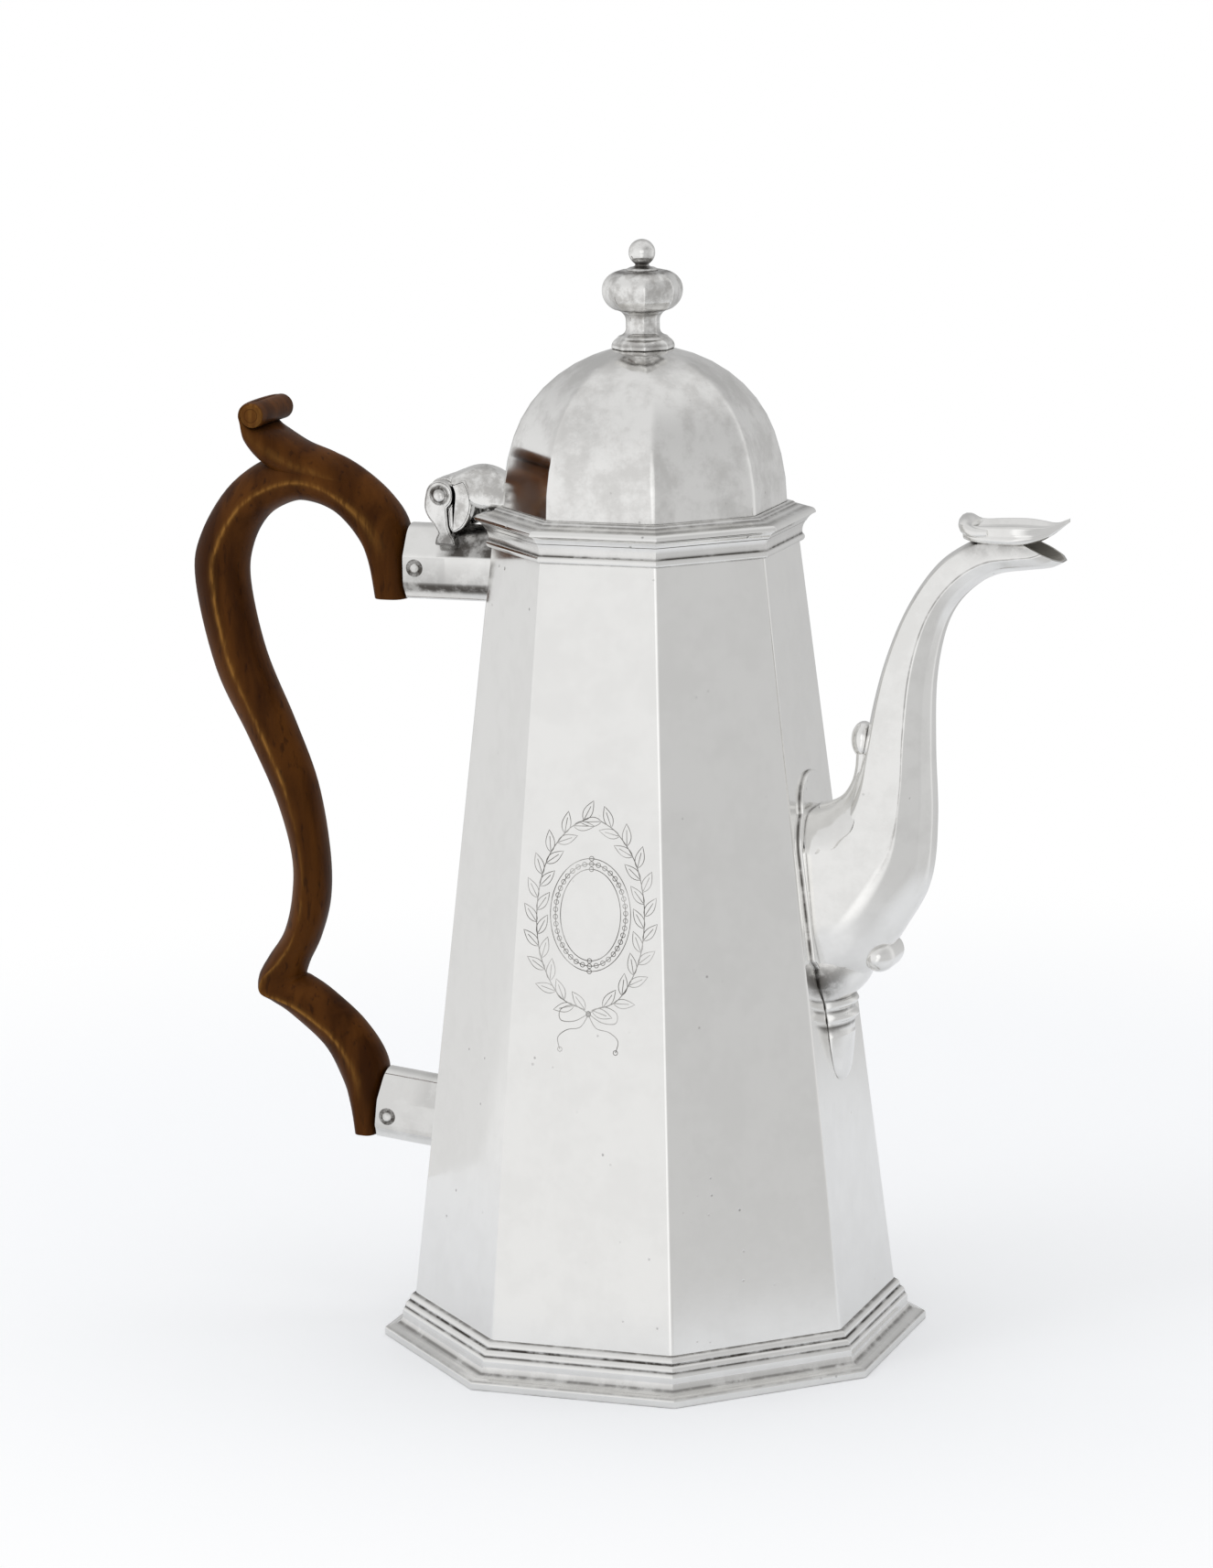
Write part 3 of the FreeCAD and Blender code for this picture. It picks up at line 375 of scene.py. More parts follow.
def fruitwood_finish():
    """Dark stained fruitwood, worn golden where the attribute named mark is high, and darkened with painted shade
    where it is sheltered.
    """
    made = bpy.data.materials.new("fruitwood")
    made.use_nodes = True
    tree = made.node_tree
    wood = tree.nodes["Principled BSDF"]
    wood.inputs["Specular IOR Level"].default_value = 0.06
    place = node(tree, "ShaderNodeTexCoord").outputs["Object"]
    along = node(tree, "ShaderNodeMapping", {"Scale": (1.0, 1.0, 0.22)}, {"Vector": place})
    figure = node(tree, "ShaderNodeTexNoise", {"Scale": 130.0, "Detail": 4.0, "Distortion": 0.6},
                  {"Vector": along.outputs[0]})
    fibre = node(tree, "ShaderNodeTexNoise", {"Scale": 900.0, "Detail": 3.0},
                 {"Vector": along.outputs[0]})
    mottle = node(tree, "ShaderNodeTexNoise", {"Scale": 60.0, "Detail": 4.0}, {"Vector": place})
    brown = node(tree, "ShaderNodeMix", {6: (0.048, 0.014, 0.002, 1), 7: (0.128, 0.043, 0.007, 1)},
                 {0: ease(tree, figure.outputs["Fac"], 0.3, 0.7, 0.0, 1.0)}, data_type="RGBA")
    pores = ease(tree, fibre.outputs["Fac"], 0.56, 0.72, 0.0, 0.55)
    dark = node(tree, "ShaderNodeMix", {7: (0.022, 0.007, 0.003, 1)},
                {0: pores, 6: brown.outputs[2]}, data_type="RGBA")
    arris = node(tree, "ShaderNodeAttribute", attribute_name="mark").outputs["Fac"]
    fleck = ease(tree, fibre.outputs["Fac"], 0.38, 0.58, 0.35, 1.0)
    worn = multiply(tree, multiply(tree, arris, fleck),
                    ease(tree, mottle.outputs["Fac"], 0.32, 0.58, 0.25, 1.0))
    colour = node(tree, "ShaderNodeMix", {7: (0.36, 0.165, 0.035, 1)},
                  {0: worn, 6: dark.outputs[2]}, data_type="RGBA")
    # Painted shade: ambient occlusion darkens the wood where it is sheltered, as under the roll.
    shelter = node(tree, "ShaderNodeAmbientOcclusion", {"Distance": 3.0 * MM}, samples=6)
    shade = ease(tree, shelter.outputs["AO"], 0.25, 0.75, 0.85, 0.0)
    colour = node(tree, "ShaderNodeMix", {7: (0.010, 0.004, 0.001, 1)},
                  {0: shade, 6: colour.outputs[2]}, data_type="RGBA")
    tree.links.new(colour.outputs[2], wood.inputs["Base Color"])
    rough = ease(tree, mottle.outputs["Fac"], 0.3, 0.7, 0.34, 0.5)
    tree.links.new(rough, wood.inputs["Roughness"])
    bump = node(tree, "ShaderNodeBump", {"Strength": 0.5, "Distance": 2.5e-5},
                {"Height": fibre.outputs["Fac"]})
    tree.links.new(bump.outputs[0], wood.inputs["Normal"])
    return made


fruitwood = fruitwood_finish()
print("finishes:", [finish.name for finish in (sheet_silver, cast_silver, fruitwood)])

# %% [markdown]
# ## Drawing outlines
#
# Every part starts from an outline drawn with straight runs and arcs, as on a template. A
# bulge is the tangent of a quarter of the arc's turn: positive swells outwards, negative is
# hollow. Real edges are never perfectly sharp, so each corner gets a small round that will
# catch the light.

# %% Outline helpers
QUARTER = math.tan(math.pi / 8)


def turned_by(vector, angle):
    return Matrix.Rotation(angle, 2) @ vector


def arc_points(start, end, bulge, step):
    """Points from start to end along a straight run or an arc."""
    if bulge == 0:
        return [start, end]
    chord = end - start
    turn = 4 * math.atan(bulge)
    radius = chord.length / (2 * math.sin(turn / 2))
    first = turned_by(chord.normalized(), -turn / 2)
    centre = start + Vector((-first.y, first.x)) * radius
    count = max(3, math.ceil(abs(math.degrees(turn)) / step))
    return [centre + turned_by(start - centre, turn * i / count) for i in range(count + 1)]


def trimmed(run, head, tail):
    """A run of points with a length cut off its head and its tail."""
    spans = [(b - a).length for a, b in zip(run, run[1:])]
    total = sum(spans)
    kept = []
    walked = 0.0
    for a, b, span in zip(run, run[1:], spans):
        for cut in (head, total - tail):
            if walked <= cut < walked + span and span > 0:
                kept.append((cut, a.lerp(b, (cut - walked) / span)))
        walked += span
        if head < walked < total - tail:
            kept.append((walked, b))
    if tail == 0:
        kept.append((total, run[-1]))
    return [point for _, point in sorted(kept, key=lambda item: item[0])]


def trace(corners, soft, step=9.0, round_all=False):
    """Walks a closed outline counter-clockwise, and rounds its corners to about soft."""
    full = [(*corner, 0)[:3] for corner in corners]
    runs = []
    for (x, y, bulge), (next_x, next_y, _) in zip(full, full[1:] + full[:1]):
        runs.append(arc_points(Vector((x, y)), Vector((next_x, next_y)), bulge, step))
    lengths = [sum((b - a).length for a, b in zip(run, run[1:])) for run in runs]
    sharp = []
    for run, after in zip(runs, runs[1:] + runs[:1]):
        bend = (run[-1] - run[-2]).angle(after[1] - after[0], 0.0)
        sharp.append(round_all or bend > math.radians(14))
    outline = []
    for i, run in enumerate(runs):
        head = min(soft, 0.42 * lengths[i]) if sharp[i - 1] else 0.0
        tail = min(soft, 0.42 * lengths[i]) if sharp[i] else 0.0
        part = trimmed(run, head, tail)
        outline.extend(part if sharp[i] else part[:-1])
        if sharp[i]:
            after = runs[(i + 1) % len(runs)]
            room = min(soft, 0.42 * lengths[(i + 1) % len(runs)])
            start = part[-1]
            corner = run[-1]
            end = trimmed(after, room, 0.0)[0]
            for share in (0.25, 0.5, 0.75):
                outline.append(start.lerp(corner, share).lerp(corner.lerp(end, share), share))
    return outline


def outward(outline):
    """Unit normals of a counter-clockwise outline."""
    normals = []
    for i, point in enumerate(outline):
        along = outline[(i + 1) % len(outline)] - outline[i - 1]
        normals.append(Vector((along.y, -along.x)).normalized())
    return normals


def smooth_line(stations, samples):
    """A smooth line through rows of numbers, sampled evenly between the rows."""
    line = []
    last = len(stations) - 1
    for i in range(last * samples + 1):
        k = min(i // samples, last - 1)
        t = i / samples - k
        before = stations[max(k - 1, 0)]
        after = stations[min(k + 2, last)]
        row = []
        for p0, p1, p2, p3 in zip(before, stations[k], stations[k + 1], after):
            row.append(0.5 * (2 * p1 + (p2 - p0) * t + (2 * p0 - 5 * p1 + 4 * p2 - p3) * t * t
                              + (3 * p1 - p0 - 3 * p2 + p3) * t ** 3))
        line.append(row)
    return line


# %% [markdown]
# ## Making shells
#
# A shell collects grids of points and flat caps. Normals come from the grid itself, so that a
# long flat run stays flat right up to its rounded edge, and they are stored with the mesh.
# Points that fall together are welded, which closes seams and poles.

# %% Shell


class Shell:
    def __init__(self):
        self.points = []
        self.faces = []
        self.normals = []
        self.marks = []

    def grid(self, rows, ring=True, loop=False, marks=None):
        """Rows of points in millimetres. Ring closes each row, loop joins last row to first."""
        base = len(self.points)
        count = len(rows[0])
        tall = len(rows)
        for r, row in enumerate(rows):
            self.points.extend(row)
            self.marks.extend(marks[r] if marks else [0.0] * count)
        normals = grid_normals(rows, ring, loop)
        for r in range(tall if loop else tall - 1):
            for c in range(count if ring else count - 1):
                s, e = (r + 1) % tall, (c + 1) % count
                spots = ((r, c), (r, e), (s, e), (s, c))
                self.face([base + i * count + j for i, j in spots],
                          [normals[i][j] for i, j in spots])
        self.rings = [[base + r * count + c for c in range(count)] for r in range(tall)]
        return self.rings

    def row(self, points, mark):
        """Adds loose points, and returns their numbers."""
        base = len(self.points)
        self.points.extend(points)
        self.marks.extend([mark] * len(points))
        return list(range(base, base + len(points)))

    def bridge(self, first, second, normals):
        """Joins two rings of point numbers, with one normal for each pair."""
        for i in range(len(first)):
            j = (i + 1) % len(first)
            self.face([first[i], first[j], second[j], second[i]],
                      [normals[i], normals[j], normals[j], normals[i]])

    def pierce(self, corners, hole, normal):
        """Swaps a flat face with four corners for one with a round hole. The corners and the
        ring of the hole run the same way round, and start in the same quarter."""
        place = [set(face) for face in self.faces].index(set(corners))
        del self.faces[place]
        del self.normals[place]
        quarter = len(hole) // 4
        for q, corner in enumerate(corners):
            arc = [hole[(q * quarter + i) % len(hole)] for i in range(quarter + 1)]
            for a, b in zip(arc, arc[1:]):
                self.face([corner, a, b], [normal] * 3)
            self.face([corner, corners[(q + 1) % 4], arc[-1]], [normal] * 3)

    def face(self, corners, normals):
        self.faces.append(corners)
        self.normals.append(normals)

    def cap(self, ring, towards):
        """Closes a ring of point numbers with one flat face that looks a given way."""
        self.face(list(ring), [Vector(towards)] * len(ring))

    def make(self, name, finish, body, *nodes, slot="silver"):
        """Welds the shell, makes the object and hangs it on its body."""
        numbers = {}
        welded = []
        marks = []
        renamed = []
        for point, mark in zip(self.points, self.marks):
            key = tuple(round(c * 1e4) for c in point)
            if key not in numbers:
                numbers[key] = len(welded)
                welded.append(point * MM)
                marks.append(mark)
            renamed.append(numbers[key])
        faces = []
        normals = []
        for corners, directions in zip(self.faces, self.normals):
            kept = []
            for i, corner in enumerate(corners):
                if renamed[corner] != renamed[corners[i - 1]]:
                    kept.append((renamed[corner], directions[i]))
            if len(kept) < 3:
                continue
            spots = [welded[number] for number, _ in kept]
            area = sum((a.cross(b) for a, b in zip(spots, spots[1:] + spots[:1])), Vector())
            if area.dot(sum((d for _, d in kept), Vector())) < 0:
                kept.reverse()
            faces.append([number for number, _ in kept])
            normals.extend(direction for _, direction in kept)
        mesh = bpy.data.meshes.new(name)
        mesh.from_pydata(welded, [], faces)
        mesh.polygons.foreach_set("use_smooth", [True] * len(mesh.polygons))
        mesh.normals_split_custom_set(normals)
        mesh.attributes.new("mark", "FLOAT", "POINT").data.foreach_set("value", marks)
        mesh.materials.append(finish)
        made = bpy.data.objects.new(name, mesh)
        bpy.context.scene.collection.objects.link(made)
        hang(made, body, nodes)
        print("%-18s %6d faces on %s" % (name, len(faces), body))
        return made


def hang(piece, body, nodes):
    """Rides a piece on its body and hides the solids it stands for."""
    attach(piece, body)
    if nodes:
        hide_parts(*nodes)


def grid_normals(rows, ring, loop):
    """Normals of a grid, from the differences between neighbouring points."""
    tall, count = len(rows), len(rows[0])
    made = []
    for r in range(tall):
        up = rows[(r + 1) % tall] if loop or r + 1 < tall else rows[r]
        down = rows[r - 1] if loop or r else rows[r]
        line = []
        for c in range(count):
            right = rows[r][(c + 1) % count] if ring or c + 1 < count else rows[r][c]
            left = rows[r][c - 1] if ring or c else rows[r][c]
            line.append((right - left).cross(up[c] - down[c]))
        made.append(line)
    for r, line in enumerate(made):
        if max(n.length for n in line) < 1e-7:
            beside = made[r + 1] if r + 1 < tall else made[r - 1]
            pole = sum(beside, Vector()).normalized()
            made[r] = [pole] * count
    return [[n.normalized() for n in line] for line in made]


# %% [markdown]
# ## Mitred rings
#
# The wall, the mouldings and the dome are all one outline taken round eight sides, with a
# mitre at each corner. The corners are softened with a ridge radius: small on the crisp
# wires, larger on the dome, whose ridges were hammered over a stake.

# %% Mitred rings
SIDES = 8
RIDGE_STEPS = 5


def octagon(apothem, ridge):
    """Points round a softened octagon, counter-clockwise from the +X facet."""
    ring = []
    core = (apothem - ridge) / math.cos(math.pi / SIDES)
    for k in range(SIDES):
        middle = math.tau / SIDES * (k + 0.5)
        centre = Vector((math.cos(middle), math.sin(middle))) * core
        for s in range(RIDGE_STEPS + 1):
            angle = math.tau / SIDES * (k + s / RIDGE_STEPS)
            ring.append(centre + Vector((math.cos(angle), math.sin(angle))) * ridge)
    return ring


def hollow_marks(outline, reach=0.34):
    """How deep each point of an outline lies in a hollow: the inward turns within reach."""
    turns = []
    for i, point in enumerate(outline):
        before = point - outline[i - 1]
        after = outline[(i + 1) % len(outline)] - point
        inward = before.y * after.x - before.x * after.y
        turns.append(max(0.0, inward) / max(before.length * after.length, 1e-9))
    marks = []
    for point in outline:
        near = sum(t * math.exp(-((point - q).length / reach) ** 2) for t, q in zip(turns, outline))
        marks.append(min(1.0, (1.15 * near) ** 1.7))
    return marks


def mitred(corners, soft, ridge, patina_and_shade_lines=(), lined=False):
    """A shell from an outline of (apothem, height) corners. Its hollows are marked dark, and
    further dark lines are given as height, half width and strength; both are patina and painted
    shade. A lined shell is dull on the faces that look inwards."""
    rows = []
    marks = []
    outline = trace(corners, soft)
    # The marks of the hollows and the further dark lines are patina and painted shade.
    for point, normal, mark in zip(outline, outward(outline), hollow_marks(outline)):
        ring = octagon(point.x, min(ridge, 0.45 * point.x))
        rows.append([Vector((p.x, p.y, point.y)) for p in ring])
        for height, reach, strength in patina_and_shade_lines:
            mark = max(mark, strength * math.exp(-((point.y - height) / reach) ** 2))
        if lined and normal.x + normal.y < -0.6:
            mark = DULL
        marks.append([mark] * len(ring))
    shell = Shell()
    shell.grid(rows, loop=True, marks=marks)
    return shell


WALL_SLOPE = 0.10987
TAPER = math.atan(WALL_SLOPE)
WALL_ACROSS = 1.0 / math.cos(TAPER)
FOOT_TOP = 9.5
FOOT_TOP_APOTHEM = 49.04
MOUTH = 179.4
WALL_BOTTOM = 5.2


def wall_at(height):
    """Apothem of the wall's outer face."""
    return FOOT_TOP_APOTHEM - (height - FOOT_TOP) * WALL_SLOPE


# %% Wall
THROAT_RADIUS = 8.0
THROAT_Z = 99.0
THROAT_STEPS = 32
facet_up = Vector((-math.sin(TAPER), 0, math.cos(TAPER)))
facet_out = Vector((math.cos(TAPER), 0, math.sin(TAPER)))
throat = Vector((wall_at(THROAT_Z), 0, THROAT_Z))
throat_ways = []
for i in range(THROAT_STEPS):
    angle = math.tau * i / THROAT_STEPS
    throat_ways.append(Vector((0, math.cos(angle), 0)) + facet_up * math.sin(angle))

wall = mitred([
    (wall_at(WALL_BOTTOM) - WALL_ACROSS, WALL_BOTTOM),
    (wall_at(WALL_BOTTOM), WALL_BOTTOM),
    (wall_at(MOUTH), MOUTH),
    (wall_at(MOUTH) - WALL_ACROSS, MOUTH),
], 0.12, 1.8, lined=True)
holes = []
for ring, after in zip(wall.rings, wall.rings[1:] + wall.rings[:1]):
    if abs(wall.points[ring[0]].z - wall.points[after[0]].z) > MOUTH / 2:
        low, high = sorted((ring, after), key=lambda numbers: wall.points[numbers[0]].z)
        depth = (wall.points[low[0]] - throat).dot(facet_out)
        hole = wall.row([throat + facet_out * depth + way * THROAT_RADIUS for way in throat_ways],
                        wall.marks[low[0]])
        wall.pierce([high[0], high[-1], low[-1], low[0]], hole, facet_out if depth > -0.5 else -facet_out)
        holes.append(hole)
wall.bridge(*holes, [-way for way in throat_ways])
wall.make("pot_wall", sheet_silver, "pot", "body_wall")

# %% Foot and rim

FOOT_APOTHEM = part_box("foot_moulding")[1].y / MM
FOOT_EDGE = 1.3
FOOT_LIP = 0.7
STEP_APOTHEM = 51.69
mitred([
    (FOOT_APOTHEM - 2.2, 0),
    (FOOT_APOTHEM, 0),
    (FOOT_APOTHEM, FOOT_EDGE, QUARTER),
    (FOOT_APOTHEM - FOOT_LIP, FOOT_EDGE + FOOT_LIP),
    (STEP_APOTHEM + 2.15, 2.3, -QUARTER),
    (STEP_APOTHEM, 4.4),
    (STEP_APOTHEM, 5.2, QUARTER / 2),
    (51.18, 6.3, QUARTER),
    (50.17, 7.75, QUARTER),
    (wall_at(FOOT_TOP), FOOT_TOP),
    (wall_at(5.8), 5.8),
    (FOOT_APOTHEM - 2.2, FOOT_EDGE),
], 0.12, 0.3, [(9.4, 0.2, 0.8), (2.8, 0.32, 0.8), (1.85, 0.15, 0.5)]).make("foot_ring", sheet_silver, "pot", "foot_moulding")

mitred([
    (wall_at(175.2), 175.2, 0.8),
    (31.35, 176.85, -QUARTER / 2),
    (31.95, MOUTH),
    (wall_at(MOUTH), MOUTH),
], 0.1, 0.3, [(175.3, 0.2, 0.6)]).make("mouth_wire", sheet_silver, "pot", "rim_moulding")

# %% [markdown]
# ## The lid
#
# The lid is a flange, a bezel that drops into the mouth, and the dome. The dome's facet is a
# pointed oval of two tangent arcs, struck from a centre past the axis and from one on it.

# %% Lid
DOME_BASE = 183.9
DOME_APOTHEM = 28.5
DOME_WALL = 0.9
DOME_RISE = 34.3
SIDE_RADIUS = 50.0
SIDE_CENTRE = DOME_APOTHEM - SIDE_RADIUS
CROWN_RADIUS = ((SIDE_RADIUS ** 2 - SIDE_CENTRE ** 2 - DOME_RISE ** 2)
                / (2 * (SIDE_RADIUS - DOME_RISE)))
CROWN_CENTRE = DOME_BASE + DOME_RISE - CROWN_RADIUS
LEAN = math.atan2(CROWN_CENTRE - DOME_BASE, -SIDE_CENTRE)
DOME_HOLE = 2.6
LID_SEAT = MOUTH + 0.1
BEZEL = 28.6


def bulge_of(start, end, radius):
    chord = math.dist(start, end)
    return math.tan(math.asin(chord / (2 * radius)) / 2)


def dome_side(inset):
    """Base, tangent point and hole of the dome's outer or inner face."""
    side = SIDE_RADIUS - inset
    crown = CROWN_RADIUS - inset
    base = (DOME_APOTHEM - inset, DOME_BASE)
    joint = (SIDE_CENTRE + side * math.cos(LEAN), DOME_BASE + side * math.sin(LEAN))
    hole = (DOME_HOLE, CROWN_CENTRE + math.sqrt(crown ** 2 - DOME_HOLE ** 2))
    return base, joint, hole


base, joint, hole = dome_side(0.0)
low_base, low_joint, low_hole = dome_side(DOME_WALL)
mitred([
    (*base, bulge_of(base, joint, SIDE_RADIUS)),
    (*joint, bulge_of(joint, hole, CROWN_RADIUS)),
    hole,
    (*low_hole, -bulge_of(low_hole, low_joint, CROWN_RADIUS - DOME_WALL)),
    (*low_joint, -bulge_of(low_joint, low_base, SIDE_RADIUS - DOME_WALL)),
    low_base,
], 0.1, 3.2, lined=True).make("dome", dome_silver, "lid", "lid_dome")

mitred([
    (BEZEL, LID_SEAT),
    (32.1, LID_SEAT, -QUARTER / 2),
    (34.05, 181.3, QUARTER),
    (32.9, 182.5, -QUARTER / 4),
    (30.1, 183.2, QUARTER),
    (DOME_APOTHEM, DOME_BASE),
    (DOME_APOTHEM - DOME_WALL, DOME_BASE),
    (DOME_APOTHEM - DOME_WALL, 183.0),
    (BEZEL, 183.0),
], 0.1, 0.3, [(183.75, 0.16, 0.7), (182.6, 0.14, 0.6)]).make("lid_flange", sheet_silver, "lid", "lid_rim")

mitred([
    (BEZEL - 0.9, 174.6), (BEZEL, 174.6), (BEZEL, 183.0), (BEZEL - 0.9, 183.0),
], 0.15, 0.5).make("bezel", sheet_silver, "lid", "lid_bezel")

# %% [markdown]
# ## The finial
#
# The finial is an eight-sided baluster with a small turned ball on top. Both are cast, so
# their arrises are rounder than those of the wires.

# %% Finial
FINIAL_BORE = 1.5
FINIAL_FOOT = 6.3
BALL_RADIUS = 2.85
BALL_HEIGHT = 238.0
STEM = 1.5
FINIAL_TOP = 234.2


def on_crown(apothem):
    return CROWN_CENTRE + math.sqrt(CROWN_RADIUS ** 2 - apothem ** 2)


mitred([
    (FINIAL_BORE, on_crown(FINIAL_BORE)),
    (FINIAL_FOOT, on_crown(FINIAL_FOOT), QUARTER / 3),
    (FINIAL_FOOT, 218.4, QUARTER / 2),
    (5.3, 219.7),
    (4.9, 220.3, -QUARTER),
    (3.45, 222.0),
    (3.45, 223.2, -QUARTER),
    (5.6, 225.8, 0.7 * QUARTER),
    (8.1, 229.9, 1.1 * QUARTER),
    (3.7, FINIAL_TOP),
    (FINIAL_BORE, FINIAL_TOP),
], 0.3, 1.3, [(225.9, 0.3, 0.8), (224.9, 0.25, 0.5), (218.5, 0.2, 0.5), (234.0, 0.3, 0.8)]).make(
    "baluster", cast_silver, "lid", "finial_baluster")

TURNED_STEPS = 48


def turned(shell, line, place, marks=None):
    """Turns an open line of (radius, height) points about its axis, and places it."""
    rows = []
    for radius, height in line:
        row = []
        for i in range(TURNED_STEPS):
            angle = math.tau * i / TURNED_STEPS
            row.append(place @ Vector((radius * math.cos(angle), radius * math.sin(angle), height)))
        rows.append(row)
    shell.grid(rows, marks=[[mark] * TURNED_STEPS for mark in marks] if marks else None)


seat = math.asin(STEM / BALL_RADIUS)
knop_line = [(0, 211.5), (1.4, 211.5), (1.4, FINIAL_TOP - 0.3), (3.1, FINIAL_TOP - 0.25),
             (3.4, FINIAL_TOP), (3.35, FINIAL_TOP + 0.3), (2.7, FINIAL_TOP + 0.6),
             (1.9, FINIAL_TOP + 0.75), (STEM, FINIAL_TOP + 1.0)]
# Dark lines in the hollows of the knop's collar, as patina and painted shade.
knop_marks = [0.0, 0.0, 0.0, 0.9, 0.5, 0.1, 0.4, 0.8, 0.9]
for i in range(25):
    angle = seat + (math.pi - seat) * i / 24
    knop_line.append((BALL_RADIUS * math.sin(angle), BALL_HEIGHT - BALL_RADIUS * math.cos(angle)))
    # Painted shade on the underside of the ball, fading upwards from the stem.
    knop_marks.append(max(0.0, 0.95 - 1.1 * (angle - seat)))
knop = Shell()
turned(knop, knop_line, Matrix.Identity(4), knop_marks)
knop.make("knop", cast_silver, "lid", "finial_knop")

# %% [markdown]
# ## Sockets and pins
#
# Two faceted silver sockets carry the handle. Each is a tube of one section, cut to the slope
# of the wall, with a cross pin riveted through it and the wood.

# %% Sockets
SOCKET_HALF_WIDTH = 6.7
SOCKET_WALL = 0.9


def socket_section(half_width, top, bottom):
    """Corners of a socket's section as (across, height)."""
    tall = top - bottom
    return [
        (-0.7 * half_width, bottom),
        (0.7 * half_width, bottom),
        (0.895 * half_width, top - 0.87 * tall),
        (half_width, top - 0.80 * tall),
        (half_width, top - 0.40 * tall),
        (0.55 * half_width, top - 0.086 * tall, 0.9 * QUARTER),
        (-0.55 * half_width, top - 0.086 * tall),
        (-half_width, top - 0.40 * tall),
        (-half_width, top - 0.80 * tall),
        (-0.895 * half_width, top - 0.87 * tall),
    ]


def socket(name, end, top, bottom, wall, place, node_name, shade_strength):
    """A socket along its own X axis, from its open end to the wall. The last number sets the
    painted shadow under the hinge and the painted dark reflection along the lower arris."""
    outer = trace(socket_section(SOCKET_HALF_WIDTH, top, bottom), 0.9, round_all=True)
    inner = trace(socket_section(SOCKET_HALF_WIDTH - SOCKET_WALL, top - SOCKET_WALL,
                                 bottom + SOCKET_WALL), 0.3, round_all=True)
    edge = 0.18
    arris = top - 0.82 * (top - bottom)
    rows = []
    marks = []
    for outline, x, shade_and_patina in ((outer, None, 1.0), (outer, end + 15.0, 1.0), (outer, end + 11.0, 1.0),
                             (outer, end + 7.6, 0.0), (outer, end + edge, 0.0),
                             (outer, end + edge / 3, 0.0), (outer, end, 0.0), (inner, end, 0.0),
                             (inner, end + 2.0, 0.0), (inner, None, 0.0)):
        inset = edge if outline is outer and x == end else 0.0
        row = []
        dark = []
        for p, n in zip(outline, outward(outline)):
            q = p - n * inset
            row.append(place @ Vector((wall(q.y) if x is None else x, q.x, q.y)))
            # Painted shadow of the hinge on the top near the wall, and a painted dark reflection along the lower
            # arris.
            under_hinge = shade_and_patina * (p.y > top - 0.38 * (top - bottom))
            dark.append(shade_strength * max(under_hinge, math.exp(-((p.y - arris) / 1.2) ** 4)))
        rows.append(row)
        marks.append(dark)
    shell = Shell()
    shell.grid(rows, loop=True, marks=marks)
    return shell.make(name, spout_silver, "pot", node_name)


UPPER_END = -53.8
socket("top_socket", UPPER_END, 178.0, 161.8, lambda z: -wall_at(z), Matrix.Identity(4),
       "upper_socket", 0.95)

LOWER_Z = 45.45
LOWER_LENGTH = 17.9
LOWER_HALF = 7.6
lower_frame = (Matrix.Translation((-wall_at(LOWER_Z), 0, LOWER_Z))
               @ Matrix.Rotation(TAPER, 4, "Y"))
socket("low_socket", -LOWER_LENGTH, LOWER_HALF, -LOWER_HALF, lambda z: 0.0, lower_frame,
       "lower_socket", 0.15)

# %% Pins
ALONG_Y = Matrix.Rotation(-math.pi / 2, 4, "X")


def rivet(name, radius, rim, proud, node_name):
    """A pin along Y, hammered at each end into a head that stands proud in a rim darkened with patina and painted
    shade.
    """
    low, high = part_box(node_name)
    half = (high.y - low.y) / 2 / MM
    middle = (low + high) / 2 / MM
    face = half - proud
    line = [(0, -half - 0.6), (0.45 * radius, -half - 0.5), (0.8 * radius, -half - 0.2),
            (radius, -half + 0.2), (radius, -face - 0.06), (rim, -face - 0.04),
            (rim + 0.2, -face + 0.2), (radius, -face + 0.4)]
    # Dark marks in the rim round the head: patina and painted shade.
    marks = [0.0, 0.0, 0.25, 0.9, 1.0, 0.9, 0.3, 0.0]
    line += [(r, -h) for r, h in reversed(line)]
    shell = Shell()
    turned(shell, line, Matrix.Translation(middle) @ ALONG_Y, marks + marks[::-1])
    return shell.make(name, cast_silver, "pot", node_name)


rivet("top_rivet", 1.15, 1.9, 0.3, "upper_socket_pin")
rivet("low_rivet", 1.15, 1.9, 0.3, "lower_socket_pin")
rivet("hinge_rivet", 1.5, 1.9, 0.0, "hinge_pin")

# %% [markdown]
# ## The handle
#
# The handle was sawn from one plank and carved. Its section is two arcs, one towards the hand
# and one outwards, that meet in an arris on each side. Sections are set square to the line of
# the handle, each given by a point on the hand's side, a point on the outside and a half
# width. Near the sockets they fill out, and at the heel they fan round the inner corner.

# %% Sections of the handle
ARC_HALF_TURN = math.radians(74)
ARC_SHARES = [0.0, 0.2, 0.4, 0.58, 0.74, 0.86, 0.93, 0.97, 1.0]
WORN = {1.0: 1.0, 0.97: 0.55, 0.93: 0.12}


